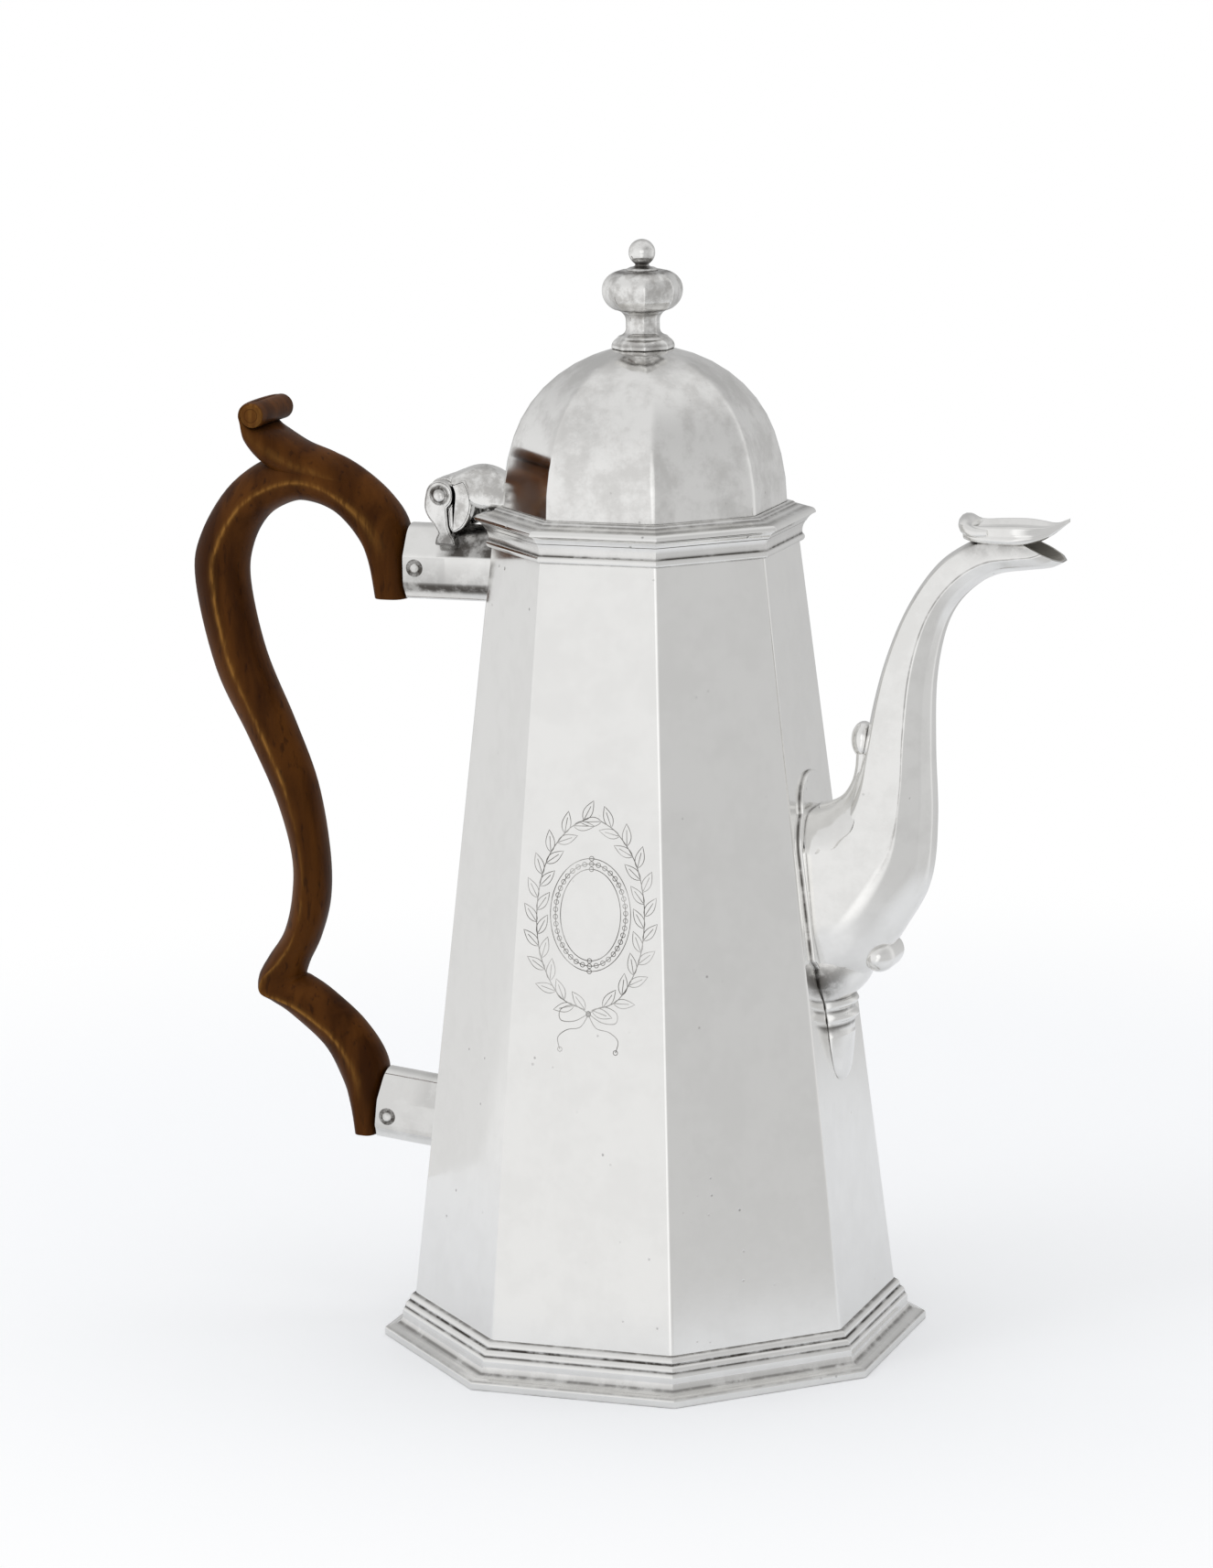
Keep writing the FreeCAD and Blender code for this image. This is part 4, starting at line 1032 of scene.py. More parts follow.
def carved_ring(near, far, half_width, arris, fullness):
    """A section of two arcs, with its points and how worn each one is. Arris is the place of
    the arris from the hand's side (-1) to the outside (1); fullness squares the arcs off."""
    middle = (near + far) / 2
    across = (far - near) / 2
    shares = [-s for s in reversed(ARC_SHARES[1:])] + ARC_SHARES
    steps = [(1, s) for s in shares] + [(-1, s) for s in reversed(shares[1:-1])]
    points = []
    marks = []
    for side, s in steps:
        rise = math.cos(ARC_HALF_TURN * s) - math.cos(ARC_HALF_TURN)
        rise = max(0.0, rise / (1 - math.cos(ARC_HALF_TURN))) ** (1 - 0.6 * fullness)
        u = arris + side * (1 - side * arris) * rise
        v = math.sin(ARC_HALF_TURN * s) / math.sin(ARC_HALF_TURN)
        points.append(middle + across * u + Vector((0, v * half_width, 0)))
        marks.append(WORN.get(abs(s), 0.0))
    return points, marks


def carved_rows(stations, samples):
    rows = []
    marks = []
    for near_x, near_z, far_x, far_z, half_width, arris, fullness in smooth_line(stations, samples):
        points, worn = carved_ring(Vector((near_x, 0, near_z)), Vector((far_x, 0, far_z)),
                                   half_width, arris, max(0.0, fullness))
        rows.append(points)
        marks.append([mark * max(0.0, 1 - fullness) for mark in worn])
    return rows, marks


# %% Handle
# Rows of hand-side x and z, outer x and z, half width, place of the arris, and fullness.
LIMBS = [
    (-61.9, 161.6, -53.8, 161.6, 6.4, 0.0, 1.0),
    (-63.3, 169.4, -53.8, 170.0, 6.7, 0.0, 1.0),
    (-66.0, 174.5, -56.0, 180.0, 6.8, -0.1, 0.6),
    (-70.8, 179.3, -63.1, 187.8, 6.8, -0.2, 0.1),
    (-76.3, 181.6, -73.2, 193.1, 6.8, -0.2, 0.0),
    (-81.7, 181.6, -84.0, 192.5, 6.8, -0.2, 0.0),
    (-88.1, 178.0, -95.7, 185.7, 6.9, -0.15, 0.0),
    (-92.0, 171.4, -103.7, 173.8, 7.0, -0.1, 0.0),
    (-92.9, 163.0, -105.3, 163.0, 7.0, -0.05, 0.0),
    (-89.6, 147.8, -100.9, 143.6, 6.9, 0.0, 0.0),
    (-83.2, 132.5, -93.5, 128.5, 6.7, 0.0, 0.0),
    (-78.1, 118.5, -87.2, 114.7, 6.5, 0.0, 0.0),
    (-75.7, 103.3, -83.8, 102.5, 6.4, 0.0, 0.0),
    (-75.7, 92.1, -84.0, 93.3, 6.3, 0.0, 0.0),
    (-78.1, 83.5, -86.1, 84.9, 6.3, 0.0, 0.0),
    (-80.8, 77.9, -89.8, 79.2, 6.3, 0.1, 0.0),
    (-81.7, 75.3, -91.9, 75.6, 6.4, 0.4, 0.0),
    (-81.7, 75.1, -92.2, 72.8, 6.4, 0.65, 0.0),
    (-81.6, 74.9, -91.2, 70.5, 6.4, 0.75, 0.0),
    (-80.4, 74.4, -88.6, 68.5, 6.4, 0.5, 0.0),
    (-75.6, 71.4, -84.4, 65.6, 6.4, 0.25, 0.0),
    (-67.8, 64.7, -77.0, 59.2, 6.4, 0.1, 0.0),
    (-62.9, 56.6, -72.9, 52.2, 6.5, 0.05, 0.4),
    (-63.1, 47.6, -70.6, 46.7, 6.5, 0.0, 0.9),
    (-64.0, 40.0, -69.5, 40.2, 6.0, 0.0, 1.0),
]
handle = Shell()
rows, marks = carved_rows(LIMBS, 7)
numbers = handle.grid(rows, marks=marks)
handle.cap(numbers[0], (0, 0, -1))
handle.cap(numbers[-1], (0, 0, -1))

# %% [markdown]
# The thumb scroll grows out of the top of the handle as a ribbon, runs up under a roll, and
# winds round it from below, over the outside, to the top.

# %% Thumb scroll
ROLL_RADIUS = 2.75
ROLL_HALF = 9.2
ROLL_AXIS = Vector((-87.6, 0.0, 201.4))
RIBBON = [
    (-68.0, 182.0, -64.0, 187.6, 5.4, 0.0, 0.5),
    (-75.5, 184.6, -71.5, 192.4, 6.2, 0.0, 0.5),
    (-82.6, 187.0, -78.4, 194.9, 6.8, 0.0, 0.6),
    (-88.0, 190.6, -83.4, 197.4, 7.6, 0.0, 0.8),
    (-91.0, 195.2, -86.4, 198.6, 8.7, 0.0, 0.85),
]
for angle, wrap in ((206, 1.05), (180, 0.95), (152, 0.8), (124, 0.55), (98, 0.2)):
    way = Vector((math.cos(math.radians(angle)), 0, math.sin(math.radians(angle))))
    skin = ROLL_AXIS + way * (ROLL_RADIUS + wrap)
    core = ROLL_AXIS + way * (ROLL_RADIUS - 0.8)
    RIBBON.append((skin.x, skin.z, core.x, core.z, 9.1, 0.0, 0.9))
rows, marks = carved_rows(RIBBON, 6)
numbers = handle.grid(rows, marks=marks)
handle.cap(numbers[0], rows[0][0] - rows[1][0])
handle.cap(numbers[-1], rows[-1][0] - rows[-2][0])
roll_line = [(0, -ROLL_HALF), (1.35, -ROLL_HALF), (1.5, -ROLL_HALF + 0.14), (1.65, -ROLL_HALF),
             (ROLL_RADIUS - 0.6, -ROLL_HALF + 0.03), (ROLL_RADIUS - 0.2, -ROLL_HALF + 0.2),
             (ROLL_RADIUS, -ROLL_HALF + 0.7), (ROLL_RADIUS, 0)]
roll_marks = [0.4, 0.3, 0.0, 0.4, 0.3, 0.5, 0.0, 0.0]
roll_line += [(r, -h) for r, h in reversed(roll_line[:-1])]
turned(handle, roll_line, Matrix.Translation(ROLL_AXIS) @ ALONG_Y, roll_marks + roll_marks[-2::-1])
handle.make("wood_handle", fruitwood, "pot", "handle", slot="fruitwood")

# %% [markdown]
# ## The hinge
#
# Two ears stand on the upper socket and hold the pin. Between them turns the knuckle of a
# hooded leaf that is soldered to the lid. Each is a plate with rounded edges.

# %% Plates


def plate(shell, outline, low, high, soft, place, steps=4, shade_and_patina=None, hole=None):
    """A plate from low to high, with its edges rounded to soft. Place maps (x, y, depth), and the
    optional shade function tells how dark a point is painted, as painted shade. A hole is given
    as its middle and radius."""
    rows = []
    normals = outward(outline)
    levels = []
    for k in range(steps + 1):
        angle = math.pi / 2 * k / steps
        levels.append((soft * (1 - math.sin(angle)), soft * (1 - math.cos(angle))))
    for inset, rise in levels:
        rows.append([place(p - n * inset, low + rise) for p, n in zip(outline, normals)])
    for inset, rise in reversed(levels):
        rows.append([place(p - n * inset, high - rise) for p, n in zip(outline, normals)])
    numbers = shell.grid(rows, marks=[[shade_and_patina(p) for p in row] for row in rows] if shade_and_patina else None)
    middle = sum(rows[0], Vector()) / len(rows[0])
    across = (sum(rows[-1], Vector()) / len(rows[-1]) - middle).normalized()
    if hole is None:
        shell.cap(numbers[0], -across)
        shell.cap(numbers[-1], across)
        return
    middle, radius = hole
    edge = [middle + (p - middle).normalized() * radius for p in outline]
    rims = [shell.row([place(p, depth) for p in edge], 0.0) for depth in (low, high)]
    shell.bridge(numbers[0], rims[0], [-across] * len(edge))
    shell.bridge(numbers[-1], rims[1], [across] * len(edge))
    centre = place(middle, low)
    shell.bridge(rims[0], rims[1], [(centre - place(p, low)).normalized() for p in edge])


def upright(point, depth):
    """Puts an outline of (x, z) on the plane of the spout and handle, at a depth along Y."""
    return Vector((point.x, depth, point.y))


# %% Hinge
PIN = Vector((-44.65, 185.2))
KNUCKLE = 3.6
KNUCKLE_BORE = 1.6
HINGE_HALF = 7.2
EAR = 2.5
PLAY = 0.3


def at_pin(corners):
    return [(PIN.x + c[0], PIN.y + c[1], *c[2:]) for c in corners]


EAR_ROUND = 3.15
ear_start = math.radians(-60)
ear = trace(at_pin([
    (1.85, -6.8),
    (EAR_ROUND * math.cos(ear_start), EAR_ROUND * math.sin(ear_start), math.tan(math.radians(58))),
    (-EAR_ROUND, 0.4, 0.08),
    (-3.55, -3.0, 0.15),
    (-1.5, -6.4),
    (-0.4, -8.4, 0.2),
    (-1.2, -11.0),
    (3.4, -11.0, 0.2),
    (2.5, -8.6),
]), 0.4)
saddle = trace(at_pin([(-2.4, -5.0), (-1.0, -7.2), (-0.9, -10.5), (1.5, -10.5), (1.4, -5.0)]), 0.4)


def ear_foot_shade(point):
    """Painted shade at the foot of an ear, where it is soldered to the socket: darker towards the bottom."""
    return max(0.0, min(0.7, (PIN.y - 6.0 - point.z) / 4.0))


RING_LINE = [(1.68, 0.0), (1.74, 0.2), (1.9, 0.28), (2.1, 0.2), (2.25, 0.0), (1.9, -0.3)]
stand = Shell()
for low in (-HINGE_HALF, HINGE_HALF - EAR):
    plate(stand, ear, low, low + EAR, 0.4, upright, shade_and_patina=ear_foot_shade)
plate(stand, saddle, EAR - HINGE_HALF - 0.4, HINGE_HALF - EAR + 0.4, 0.2, upright)
for side in (-1, 1):
    place = Matrix.Translation((PIN.x, side * HINGE_HALF, PIN.y)) @ ALONG_Y
    turned(stand, [(r, side * h) for r, h in RING_LINE + RING_LINE[:1]], place)
stand.make("hinge_ears", cast_silver, "pot", "hinge_stand")

# %% Hooded leaf
CHEEK_ROOM = 3.35
room_top = math.radians(45)
room_low = math.radians(-40)
cheek = trace(at_pin([
    (2.1, -6.8, 0.1),
    (3.0, -8.2, 0.12),
    (5.4, -6.8, 0.12),
    (7.2, -3.2, 0.12),
    (7.0, 0.9, 0.1),
    (5.7, 3.5),
    (CHEEK_ROOM * math.cos(room_top), CHEEK_ROOM * math.sin(room_top),
     -math.tan((room_top - room_low) / 4)),
    (CHEEK_ROOM * math.cos(room_low), CHEEK_ROOM * math.sin(room_low)),
    (1.9, -3.4),
]), 0.5)

# Rows of distance from the pin, top, edge and half width of the hood.
HOOD_ROWS = [
    (2.75, 4.75, 2.4, 7.2), (4.6, 5.55, 1.6, 7.2), (6.4, 6.0, -0.8, 7.2), (8.2, 6.05, -2.2, 7.2),
    (10.5, 5.5, -2.6, 7.1), (13.0, 4.1, -2.7, 6.9), (16.0, 1.9, -2.7, 6.6),
]
NECK_ROWS = [(-1.6, 3.2, 2.2, 4.4), (0.6, 3.95, 2.2, 4.4), (3.2, 5.0, 2.2, 4.4)]
ARCH_STEPS = 28


def arch(shell, stations):
    """A round-topped cover along X, flat underneath."""
    rows = []
    for x, top, edge, half_width in smooth_line(stations, 5):
        row = []
        for k in range(ARCH_STEPS + 1):
            angle = math.pi * (1 - k / ARCH_STEPS)
            row.append(Vector((PIN.x + x, half_width * math.cos(angle),
                               PIN.y + edge + (top - edge) * math.sin(angle) ** 0.8)))
        rows.append(row)
    numbers = shell.grid(rows)
    shell.cap(numbers[0], (-1, 0, 0))
    shell.cap(numbers[-1], (1, 0, 0))


leaf = Shell()
arch(leaf, HOOD_ROWS)
arch(leaf, NECK_ROWS)
for side in (-1, 1):
    low, high = sorted((side * (HINGE_HALF - EAR - PLAY), side * HINGE_HALF))
    plate(leaf, cheek, low, high, 0.45, upright)
knuckle_line = [(KNUCKLE_BORE, -4.4), (KNUCKLE - 0.3, -4.4), (KNUCKLE - 0.1, -4.2),
                (KNUCKLE - 0.1, 4.2), (KNUCKLE - 0.3, 4.4), (KNUCKLE_BORE, 4.4),
                (KNUCKLE_BORE, -4.4)]
turned(leaf, knuckle_line, Matrix.Translation((PIN.x, 0, PIN.y)) @ ALONG_Y)
leaf.make("hooded_leaf", cast_silver, "lid", "hinge_leaf")

# %% [markdown]
# ## The spout
#
# The spout was cast in two halves and soldered along its middle, then filed to broad facets
# with an arris down each side. Its sections run from a tall oval on the wall to the small
# mouth, with the bore inside.

# %% Spout
SPOUT = [
    (37.06, 118.5, 41.35, 79.5, 11.4, 1.3),
    (42.5, 119.6, 50.5, 84.1, 11.4, 1.3),
    (46.2, 122.0, 58.0, 94.4, 10.6, 1.2),
    (48.6, 128.0, 63.1, 104.2, 9.2, 1.2),
    (50.2, 136.0, 64.6, 117.9, 7.9, 1.1),
    (51.7, 143.5, 64.3, 133.3, 6.9, 1.1),
    (53.9, 151.7, 64.6, 147.7, 6.1, 1.0),
    (57.3, 160.6, 66.5, 158.3, 5.6, 1.0),
    (61.6, 168.4, 69.5, 164.8, 5.4, 0.9),
    (66.9, 174.8, 74.2, 169.5, 5.5, 0.8),
    (73.6, 179.0, 79.3, 172.1, 5.9, 0.8),
    (78.6, 180.0, 85.4, 173.1, 6.1, 0.7),
    (81.2, 180.2, 90.4, 173.8, 5.9, 0.65),
    (82.6, 180.2, 93.1, 175.0, 5.4, 0.6),
]


def both_sides(half_section):
    return half_section + [(u, -v) for u, v in reversed(half_section)]


def section_ring(near, far, half_width, corners, soft):
    """One softened section in the plane of Y and the line from near to far."""
    middle = (near + far) / 2
    across = (far - near) / 2
    reach = across.length
    unit = across.normalized()
    outline = trace([(u * reach, v * half_width) for u, v in corners], soft, round_all=True)
    return [middle + unit * p.x + Vector((0, p.y, 0)) for p in outline]


SPOUT_CORNERS = both_sides([(1.0, 0.3), (0.74, 0.76), (0.2, 1.0), (-0.8, 0.85), (-1.0, 0.35)])
BELLY_SOFT = 3.2
NECK_SOFT = 0.6
ARRIS_POINTS = (8, 33)
BACK_POINTS = range(11, 31)

outside = []
bore = []
marks = []
for near_x, near_z, far_x, far_z, half_width, thick in smooth_line(SPOUT, 9):
    near = Vector((near_x, 0, near_z))
    far = Vector((far_x, 0, far_z))
    unit = (far - near).normalized()
    shown = min(1.0, max(0.0, (near_z - 120.5) / 12))
    soft = BELLY_SOFT + (NECK_SOFT - BELLY_SOFT) * shown
    outside.append(section_ring(near, far, half_width, SPOUT_CORNERS, soft))
    bore.append(section_ring(near + unit * thick, far - unit * thick, half_width - thick,
                             SPOUT_CORNERS, soft))
    # Painted dark reflection along each arris above the root, and painted shade on the back where the hood
    # overhangs it.
    shown *= 0.7
    hooded = 0.5 * min(1.0, max(0.0, (near_x - 70) / 4))
    marks.append([shown if i in ARRIS_POINTS else hooded if i in BACK_POINTS else 0.0
                  for i in range(len(outside[-1]))])
spout = Shell()
spout.grid(outside + bore[::-1], loop=True, marks=marks + [[DULL] * len(row) for row in bore])
spout.make("curved_spout", spout_silver, "pot", "spout")

# %% Spout plate and drop
PLATE_Z = 100.0
facet_origin = Vector((wall_at(PLATE_Z), 0, PLATE_Z))


def on_facet(point, depth):
    """Puts an outline of (across, up) on the spout's facet, at a depth outwards."""
    return facet_origin + Vector((0, point.x, 0)) + facet_up * point.y + facet_out * depth


def card_edge_shade(point):
    """Painted shade along the foot of the plate's edge, where it meets the wall."""
    depth = (point - facet_origin).dot(facet_out)
    return 0.95 if depth < 0.5 else 0.0


card = Shell()
plate(card, trace([
    (-6.8, -21.2), (6.8, -21.2, -0.25), (12.0, -12.0), (12.4, 12.0, 0.2), (8.5, 19.5, 0.95),
    (-8.5, 19.5, 0.2), (-12.4, 12.0), (-12.0, -12.0, -0.25),
], 0.4), -0.2, 0.9, 0.25, on_facet, shade_and_patina=card_edge_shade,
      hole=(Vector((0.0, (THROAT_Z - PLATE_Z) / math.cos(TAPER))), THROAT_RADIUS))
card.make("cut_card", sheet_silver, "pot", "spout_plate")

# Rows of height on the facet, half width and reach outwards: bulb, two collars and tongue.
DROP_ROWS = [
    (-10.0, 8.0, 9.6), (-13.0, 9.3, 10.2), (-16.0, 9.6, 9.9), (-18.6, 8.9, 8.6), (-20.6, 7.7, 6.6),
    (-22.0, 6.9, 4.7), (-22.5, 6.75, 5.2), (-23.1, 6.65, 5.5), (-23.7, 6.6, 5.2), (-24.2, 6.5, 4.4),
    (-25.1, 6.4, 4.3), (-25.6, 6.4, 4.9), (-26.2, 6.4, 5.2), (-26.8, 6.35, 4.9), (-27.3, 6.3, 4.1),
    (-29.4, 6.2, 3.7), (-30.0, 6.2, 3.8), (-30.6, 6.2, 3.7), (-33.5, 5.9, 3.1), (-36.8, 5.2, 2.4),
    (-39.0, 4.1, 1.7), (-40.2, 2.6, 1.0), (-40.7, 1.0, 0.4),
]
DROP_GROOVES = (-22.0, -24.6, -27.9)
DROP_STEPS = 26
BEHIND = 0.2

rows = []
marks = []
for up, half_width, out in smooth_line(DROP_ROWS, 3):
    row = []
    # Painted shade on the flanks of the bulb and the top of the tongue, where they turn away; the grooves between
    # the collars are dark with patina and painted shade.
    hollow = max(math.exp(-((up + 17.0) / 3.6) ** 4), 0.7 * math.exp(-((up + 28.4) / 0.9) ** 4))
    groove = sum(math.exp(-((up - place) / 0.32) ** 2) for place in DROP_GROOVES)
    marks.append([])
    for k in range(DROP_STEPS + 1):
        angle = math.pi * (k / DROP_STEPS - 0.5)
        painted_flank_shade = 0.9 * hollow * max(0.0, abs(math.sin(angle)) - 0.72) / 0.28
        marks[-1].append(max(painted_flank_shade, 0.85 * groove))
        row.append(on_facet(Vector((half_width * math.sin(angle), up)),
                            (out + BEHIND) * math.cos(angle) - BEHIND))
    rows.append(row)
drop = Shell()
numbers = drop.grid(rows, marks=marks)
drop.cap(numbers[0], facet_up)
drop.cap(numbers[-1], -facet_up)
drop.make("drop", spout_silver, "pot", "spout_drop")

# %% Scrolls


def scroll_roll(shell, radius, half, x, z, tall=1.0):
    """A fleshy roll along Y with rounded ends; tall stretches it upwards."""
    line = []
    for k in range(7):
        angle = math.pi / 2 * k / 6
        line.append((radius * math.sin(angle), -half + 1.2 * radius * (1 - math.cos(angle))))
    line += [(r, -h) for r, h in reversed(line)]
    stretch = Matrix.Diagonal((1.0, 1.0, tall, 1.0))
    turned(shell, line, Matrix.Translation((x, 0, z)) @ stretch @ ALONG_Y)


def leaf_rows(stations, samples, flutes, drape):
    """A thick leaf along a line: x, z, half width, dish, thickness and depth of its flutes.
    Drape is how late across the leaf the dish begins."""
    line = smooth_line(stations, samples)
    rows = []
    for i, (x, z, half_width, dish, thick, flute) in enumerate(line):
        before = line[max(i - 1, 0)]
        after = line[min(i + 1, len(line) - 1)]
        along = Vector((after[0] - before[0], 0, after[1] - before[1])).normalized()
        normal = Vector((-along.z, 0, along.x))
        row = []
        for face, order in ((1, range(LEAF_STEPS + 1)), (-1, range(LEAF_STEPS, -1, -1))):
            for k in order:
                t = math.sin(math.pi / 2 * (2 * k / LEAF_STEPS - 1))
                half = thick / 2 * math.sqrt(max(0.0, 1 - t ** 6))
                wave = flute * math.cos(flutes * math.pi * t) if face > 0 else 0.0
                row.append(Vector((x, half_width * t, z)) + normal * (dish * abs(t) ** drape + face * half + wave))
        rows.append(row)
    return rows


LEAF_STEPS = 24


def leaf_on(shell, rows):
    numbers = shell.grid(rows)
    shell.cap(numbers[0], rows[0][0] - rows[1][0])
    shell.cap(numbers[-1], rows[-1][0] - rows[-2][0])


front = Shell()
scroll_roll(front, 3.5, 7.2, 53.0, 88.3)
front.make("front_scroll", spout_silver, "pot", "spout_front_scroll")

STEM_LEAF = [
    (39.4, 119.6, 2.6, -0.2, 1.8, 0.0),
    (42.4, 120.4, 2.6, -0.2, 1.9, 0.0),
    (45.2, 122.3, 2.5, -0.2, 1.9, 0.0),
    (47.2, 125.4, 2.4, -0.2, 1.9, 0.0),
    (48.2, 128.4, 2.4, -0.1, 2.1, 0.0),
    (48.6, 130.8, 2.5, -0.1, 2.4, 0.0),
    (48.9, 133.2, 2.5, 0.0, 2.6, 0.0),
]
back = Shell()
leaf_on(back, leaf_rows(STEM_LEAF, 6, 0, 2))
scroll_roll(back, 2.45, 3.4, 48.7, 134.8, 1.6)
back.make("back_leaf", spout_silver, "pot", "spout_leaf_scroll")

# %% [markdown]
# A lobed leaf is chased on the back of the root and hangs over both sides of the spout. Every
# second row is wider and hangs lower, which makes the lobes.

# %% Root leaf
ROOT_LEAF = [
    (37.4, 118.8, 11.2, -7.0, 1.1, 0.0),
    (38.7, 119.1, 11.6, -8.0, 1.2, 0.0),
    (40.2, 119.5, 11.2, -6.9, 1.1, 0.0),
    (41.8, 119.9, 11.5, -7.8, 1.2, 0.0),
    (43.4, 120.6, 10.9, -6.5, 1.1, 0.0),
    (44.9, 121.6, 10.0, -6.0, 1.2, 0.0),
    (46.1, 122.8, 8.2, -4.2, 1.1, 0.0),
    (47.2, 124.6, 6.2, -2.4, 1.1, 0.0),
    (48.0, 126.8, 3.6, -0.8, 1.1, 0.0),
    (48.5, 129.0, 1.8, -0.1, 1.0, 0.0),
]
root = Shell()
leaf_on(root, leaf_rows(ROOT_LEAF, 6, 0, 4))
root.make("root_leaf", spout_silver, "pot")

# %% [markdown]
# ## The hood
#
# A boat-shaped leaf closes the top of the lip. It lies flat on the spout, has a dished floor
# with a thick rim, and ends in a point that turns up. At the heel the rim rises in an arch.

# %% Hood
# Rows of x, half width, height of the sole, and height of the rim above it.
HOOD = [
    (72.0, 4.4, 179.4, 4.0), (74.6, 5.9, 178.9, 3.9), (78.5, 6.9, 178.7, 4.2),
    (83.5, 6.9, 178.7, 4.3), (87.2, 5.7, 179.1, 3.7), (89.6, 4.0, 180.0, 2.7),
    (91.4, 2.3, 181.3, 1.7), (92.8, 1.2, 182.4, 1.2), (94.0, 0.5, 183.3, 0.8),
]
HOOD_SECTION = [(0.7, 0.0), (0.93, 0.1), (1.0, 0.3), (0.95, 0.52), (0.97, 0.9), (0.85, 1.0), (0.62, 0.72),
                (0.3, 0.5)]
HEEL = [
    (78.0, -6.3, 181.4, 0.8), (75.0, -5.7, 181.3, 1.1), (72.9, -4.5, 181.8, 1.3),
    (72.1, -2.7, 182.5, 1.5), (71.9, 0.0, 182.9, 1.65), (72.1, 2.7, 182.5, 1.5),
    (72.9, 4.5, 181.8, 1.3), (75.0, 5.7, 181.3, 1.1), (78.0, 6.3, 181.4, 0.8),
]


def tube(shell, stations, samples, steps=14):
    """A round tube through rows of x, y, z and radius, closed at both ends."""
    line = smooth_line(stations, samples)
    rows = []
    for i, (x, y, z, radius) in enumerate(line):
        before = Vector(line[max(i - 1, 0)][:3])
        after = Vector(line[min(i + 1, len(line) - 1)][:3])
        along = (after - before).normalized()
        first = Vector((0.9, 0.0, 0.45))
        first = (first - along * first.dot(along)).normalized()
        second = along.cross(first)
        row = []
        for k in range(steps):
            angle = math.tau * k / steps
            row.append(Vector((x, y, z)) + (first * math.cos(angle) + second * math.sin(angle)) * radius)
        rows.append(row)
    numbers = shell.grid(rows)
    shell.cap(numbers[0], rows[0][0] - rows[1][0])
    shell.cap(numbers[-1], rows[-1][0] - rows[-2][0])


rows = []
for x, half_width, sole, rim in smooth_line(HOOD, 6):
    side = [(across * half_width, sole + up * rim) for across, up in HOOD_SECTION]
    outline = trace(side + [(-a, z) for a, z in reversed(side)], 0.3, round_all=True)
    rows.append([Vector((x, p.x, p.y)) for p in outline])
hood = Shell()
numbers = hood.grid(rows)
hood.cap(numbers[0], (-1, 0, 0))
hood.cap(numbers[-1], (1, 0, 0))
tube(hood, HEEL, 5)
hood.make("lip_hood", spout_silver, "pot", "spout_hood")

# %% [markdown]
# ## The engraving
#
# The front of such a pot carries engraving. Here it is a plain design: two sprays of laurel
# round an empty oval with a row of pearls, tied below with a ribbon. Each line is drawn once
# as a wire. Geometry Nodes follow the wire with the cut of the graver and repeat one motif
# along it, a leaf or a pearl, turned to the line and leaning to either side by turns.

# %% Lines of the engraving
DESIGN_Z = 101.0
DESIGN_SCALE = 1.25
DESIGN_SINK = -0.045
GRAVER = 0.105
front_up = Vector((0, math.sin(TAPER), math.cos(TAPER)))
front_out = Vector((0, -math.cos(TAPER), math.sin(TAPER)))
front_origin = Vector((0, -wall_at(DESIGN_Z), DESIGN_Z))


def wire(name, lines, place):
    """A mesh of edges from lines of points; a line that is closed ends where it begins."""
    points = []
    edges = []
    for line, closed in lines:
        base = len(points)
        points.extend(place(Vector(p)) * MM for p in line)
        edges.extend((base + i, base + i + 1) for i in range(len(line) - 1))
        if closed:
            edges.append((base + len(line) - 1, base))
    mesh = bpy.data.meshes.new(name)
    mesh.from_pydata(points, edges, [])
    made = bpy.data.objects.new(name, mesh)
    bpy.context.scene.collection.objects.link(made)
    return made


def on_front(point):
    flat_place = point * DESIGN_SCALE
    return front_origin + Vector((flat_place.x, 0, 0)) + front_up * flat_place.y + front_out * DESIGN_SINK


def flat(point):
    return Vector((point.x, point.y, 0))


def oval(across, tall, middle, count):
    steps = [math.tau * i / count for i in range(count)]
    return [(across * math.sin(a), middle + tall * math.cos(a)) for a in steps]


def both_hands(stations, samples):
    """A smooth open line and its mirror image."""
    line = smooth_line(stations, samples)
    return [(line, False), ([(-x, y) for x, y in line], False)]


LEAF_LENGTH = 4.8
LEAF_HALF = 1.0
leaf_side = [(LEAF_LENGTH * i / 8, LEAF_HALF * math.sin(math.pi * (i / 8) ** 0.8)) for i in range(9)]
leaf_edge = leaf_side + [(x, -y) for x, y in reversed(leaf_side[1:-1])]
leaf_motif = wire("leaf_motif", [(leaf_edge, True), ([(0.3, 0), (0.72 * LEAF_LENGTH, 0)], False)], flat)
pearl_motif = wire("pearl_motif", [(oval(0.5, 0.5, 0.0, 10), True)], flat)
SPRAY = [(0.6, -15.6), (5.4, -13.4), (8.9, -6.5), (9.6, 2.0), (8.0, 9.5), (4.6, 14.6), (1.6, 16.6)]
sprays = wire("sprays", both_hands(SPRAY, 8), on_front)
pearls = wire("pearls", [(oval(6.3, 8.7, 0.6, 64), True)], on_front)
BOW = [(0.0, -16.2), (2.6, -14.9), (5.0, -15.8), (4.9, -17.6), (2.4, -17.6), (0.0, -16.2)]
TAIL = [(0.0, -16.4), (1.4, -18.6), (3.8, -19.2), (5.4, -20.6), (5.0, -22.6)]
ribbon = wire("ribbon", [(oval(5.4, 7.8, 0.6, 64), True), (oval(7.2, 9.6, 0.6, 64), True)]
              + both_hands(BOW, 6) + both_hands(TAIL, 6), on_front)

# %% Graver nodes


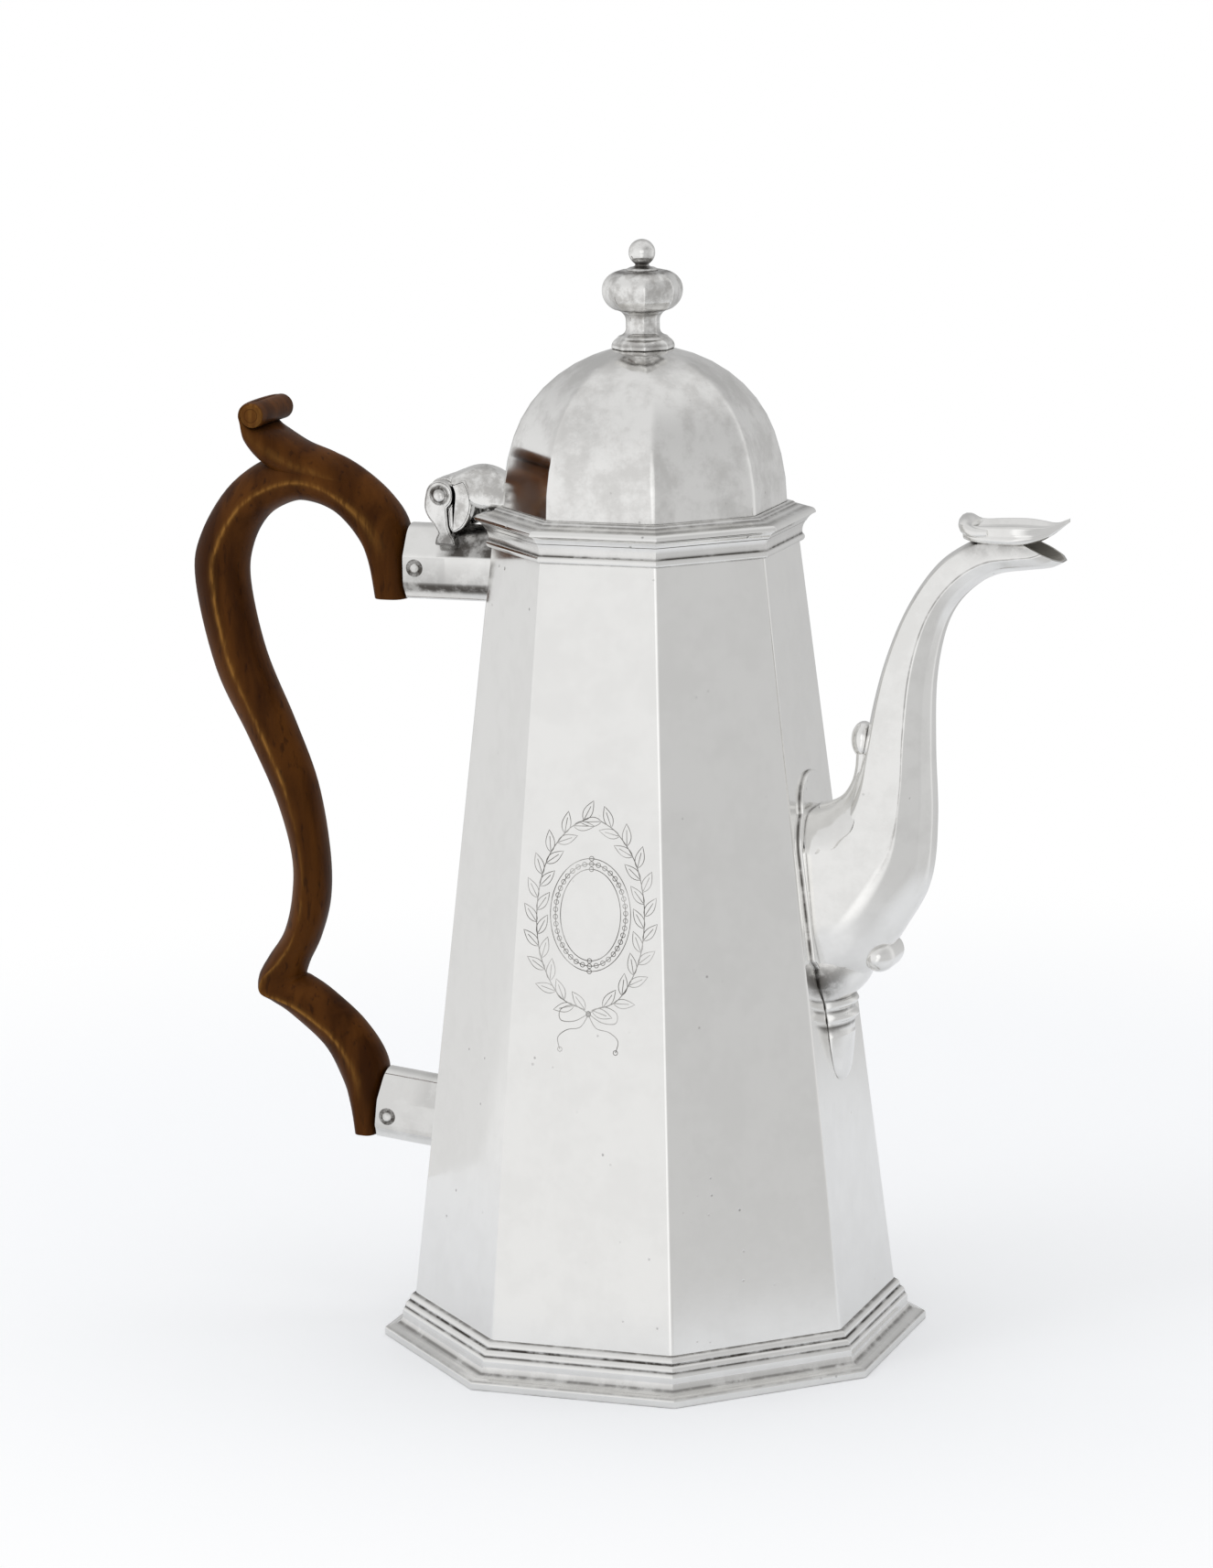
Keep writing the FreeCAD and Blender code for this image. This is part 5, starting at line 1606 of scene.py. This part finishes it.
def graver_tree():
    """Cuts along a wire and repeats a motif along it. Returns the tree and its input names."""
    tree = bpy.data.node_groups.new("graver", "GeometryNodeTree")
    inputs = {}
    for name, kind in (("Geometry", "Geometry"), ("Motif", "Object"), ("Spacing", "Float"),
                       ("Lean", "Float"), ("Cut", "Float"), ("Facing", "Vector"), ("Finish", "Material")):
        socket = tree.interface.new_socket(name, in_out="INPUT", socket_type="NodeSocket" + kind)
        inputs[name] = socket.identifier
    tree.interface.new_socket("Geometry", in_out="OUTPUT", socket_type="NodeSocketGeometry")
    given = node(tree, "NodeGroupInput").outputs
    point = node(tree, "GeometryNodeCurvePrimitiveCircle", {"Resolution": 6}, {"Radius": given["Cut"]})
    path = node(tree, "GeometryNodeMeshToCurve", links={"Mesh": given["Geometry"]})
    stem = node(tree, "GeometryNodeCurveToMesh", {"Fill Caps": True},
                {"Curve": path.outputs[0], "Profile Curve": point.outputs[0]})
    motif = node(tree, "GeometryNodeObjectInfo", links={"Object": given["Motif"]})
    shape = node(tree, "GeometryNodeMeshToCurve", links={"Mesh": motif.outputs["Geometry"]})
    mark = node(tree, "GeometryNodeCurveToMesh", {"Fill Caps": True},
                {"Curve": shape.outputs[0], "Profile Curve": point.outputs[0]})
    steps = node(tree, "GeometryNodeResampleCurve", links={"Curve": path.outputs[0],
                                                           "Length": given["Spacing"]}, mode="LENGTH")
    along = node(tree, "GeometryNodeInputTangent").outputs[0]
    facing = node(tree, "FunctionNodeAxesToRotation",
                  links={"Primary Axis": given["Facing"], "Secondary Axis": along},
                  primary_axis="Z", secondary_axis="X")
    number = node(tree, "GeometryNodeInputIndex").outputs[0]
    odd = arithmetic(tree, "MODULO", number, 2.0)
    side = arithmetic(tree, "SUBTRACT", multiply(tree, odd, 2.0), 1.0)
    lean = node(tree, "ShaderNodeCombineXYZ", links={"Z": multiply(tree, side, given["Lean"])})
    lean = node(tree, "FunctionNodeEulerToRotation", links={0: lean.outputs[0]})
    turned_to = node(tree, "FunctionNodeRotateRotation",
                     links={0: facing.outputs[0], 1: lean.outputs[0]}, rotation_space="LOCAL")
    copies = node(tree, "GeometryNodeInstanceOnPoints",
                  links={"Points": steps.outputs[0], "Instance": mark.outputs[0],
                         "Rotation": turned_to.outputs[0]})
    both = node(tree, "GeometryNodeJoinGeometry", links={0: stem.outputs[0]})
    tree.links.new(copies.outputs[0], both.inputs[0])
    real = node(tree, "GeometryNodeRealizeInstances", links={0: both.outputs[0]})
    done = node(tree, "GeometryNodeSetMaterial",
                links={"Geometry": real.outputs[0], "Material": given["Finish"]})
    node(tree, "NodeGroupOutput", links={0: done.outputs[0]})
    return tree, inputs


def engraved_finish():
    """The floor of a cut: dull silver, darker where polish has settled."""
    made = bpy.data.materials.new("engraved_silver")
    made.use_nodes = True
    tree = made.node_tree
    metal = tree.nodes["Principled BSDF"]
    metal.inputs["Metallic"].default_value = 1.0
    metal.inputs["Roughness"].default_value = 0.4
    place = node(tree, "ShaderNodeTexCoord").outputs["Object"]
    wear = node(tree, "ShaderNodeTexNoise", {"Scale": 160.0, "Detail": 4.0}, {"Vector": place})
    colour = node(tree, "ShaderNodeMix", {6: (0.16, 0.15, 0.14, 1), 7: (0.62, 0.61, 0.59, 1)},
                  {0: ease(tree, wear.outputs["Fac"], 0.35, 0.66, 0.0, 1.0)}, data_type="RGBA")
    tree.links.new(colour.outputs[2], metal.inputs["Base Color"])
    return made


# %% Engraving
graver, graver_inputs = graver_tree()
engraved_silver = engraved_finish()
together = bmesh.new()
for lines, motif, spacing, lean in ((sprays, leaf_motif, 2.5, 34), (pearls, pearl_motif, 1.6, 0),
                                    (ribbon, pearl_motif, 1000.0, 0)):
    modifier = lines.modifiers.new("graver", "NODES")
    modifier.node_group = graver
    modifier[graver_inputs["Motif"]] = motif
    modifier[graver_inputs["Spacing"]] = spacing * MM
    modifier[graver_inputs["Lean"]] = math.radians(lean)
    modifier[graver_inputs["Cut"]] = GRAVER * MM
    modifier[graver_inputs["Facing"]] = tuple(front_out)
    modifier[graver_inputs["Finish"]] = engraved_silver
    seen = lines.evaluated_get(bpy.context.evaluated_depsgraph_get())
    cut = bpy.data.meshes.new_from_object(seen)
    together.from_mesh(cut)
    print("%-10s %6d faces" % (lines.name, len(cut.polygons)))
    bpy.data.meshes.remove(cut)
design = bpy.data.meshes.new("engraving")
together.to_mesh(design)
together.free()
design.materials.clear()
design.materials.append(engraved_silver)
engraving = bpy.data.objects.new("engraving", design)
bpy.context.scene.collection.objects.link(engraving)
for helper in (sprays, pearls, ribbon, leaf_motif, pearl_motif):
    bpy.data.objects.remove(helper)
hang(engraving, "pot", ())
print("engraving", len(design.polygons), "faces")

# %% [markdown]
# ## Parts that stay as they are
#
# The flat bottom and the nut under the dome are plain and hidden, so their solids stay and
# only take the silver finish.

# %% Plain parts
for name in ("bottom_plate", "finial_nut"):
    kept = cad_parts[name]
    for i in range(len(kept.material_slots)):
        kept.material_slots[i].material = sheet_silver

# %% Sizes, and the end
low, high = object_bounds()
bpy.context.scene.view_settings.view_transform = "Standard"
print("visual box", list(low), list(high))
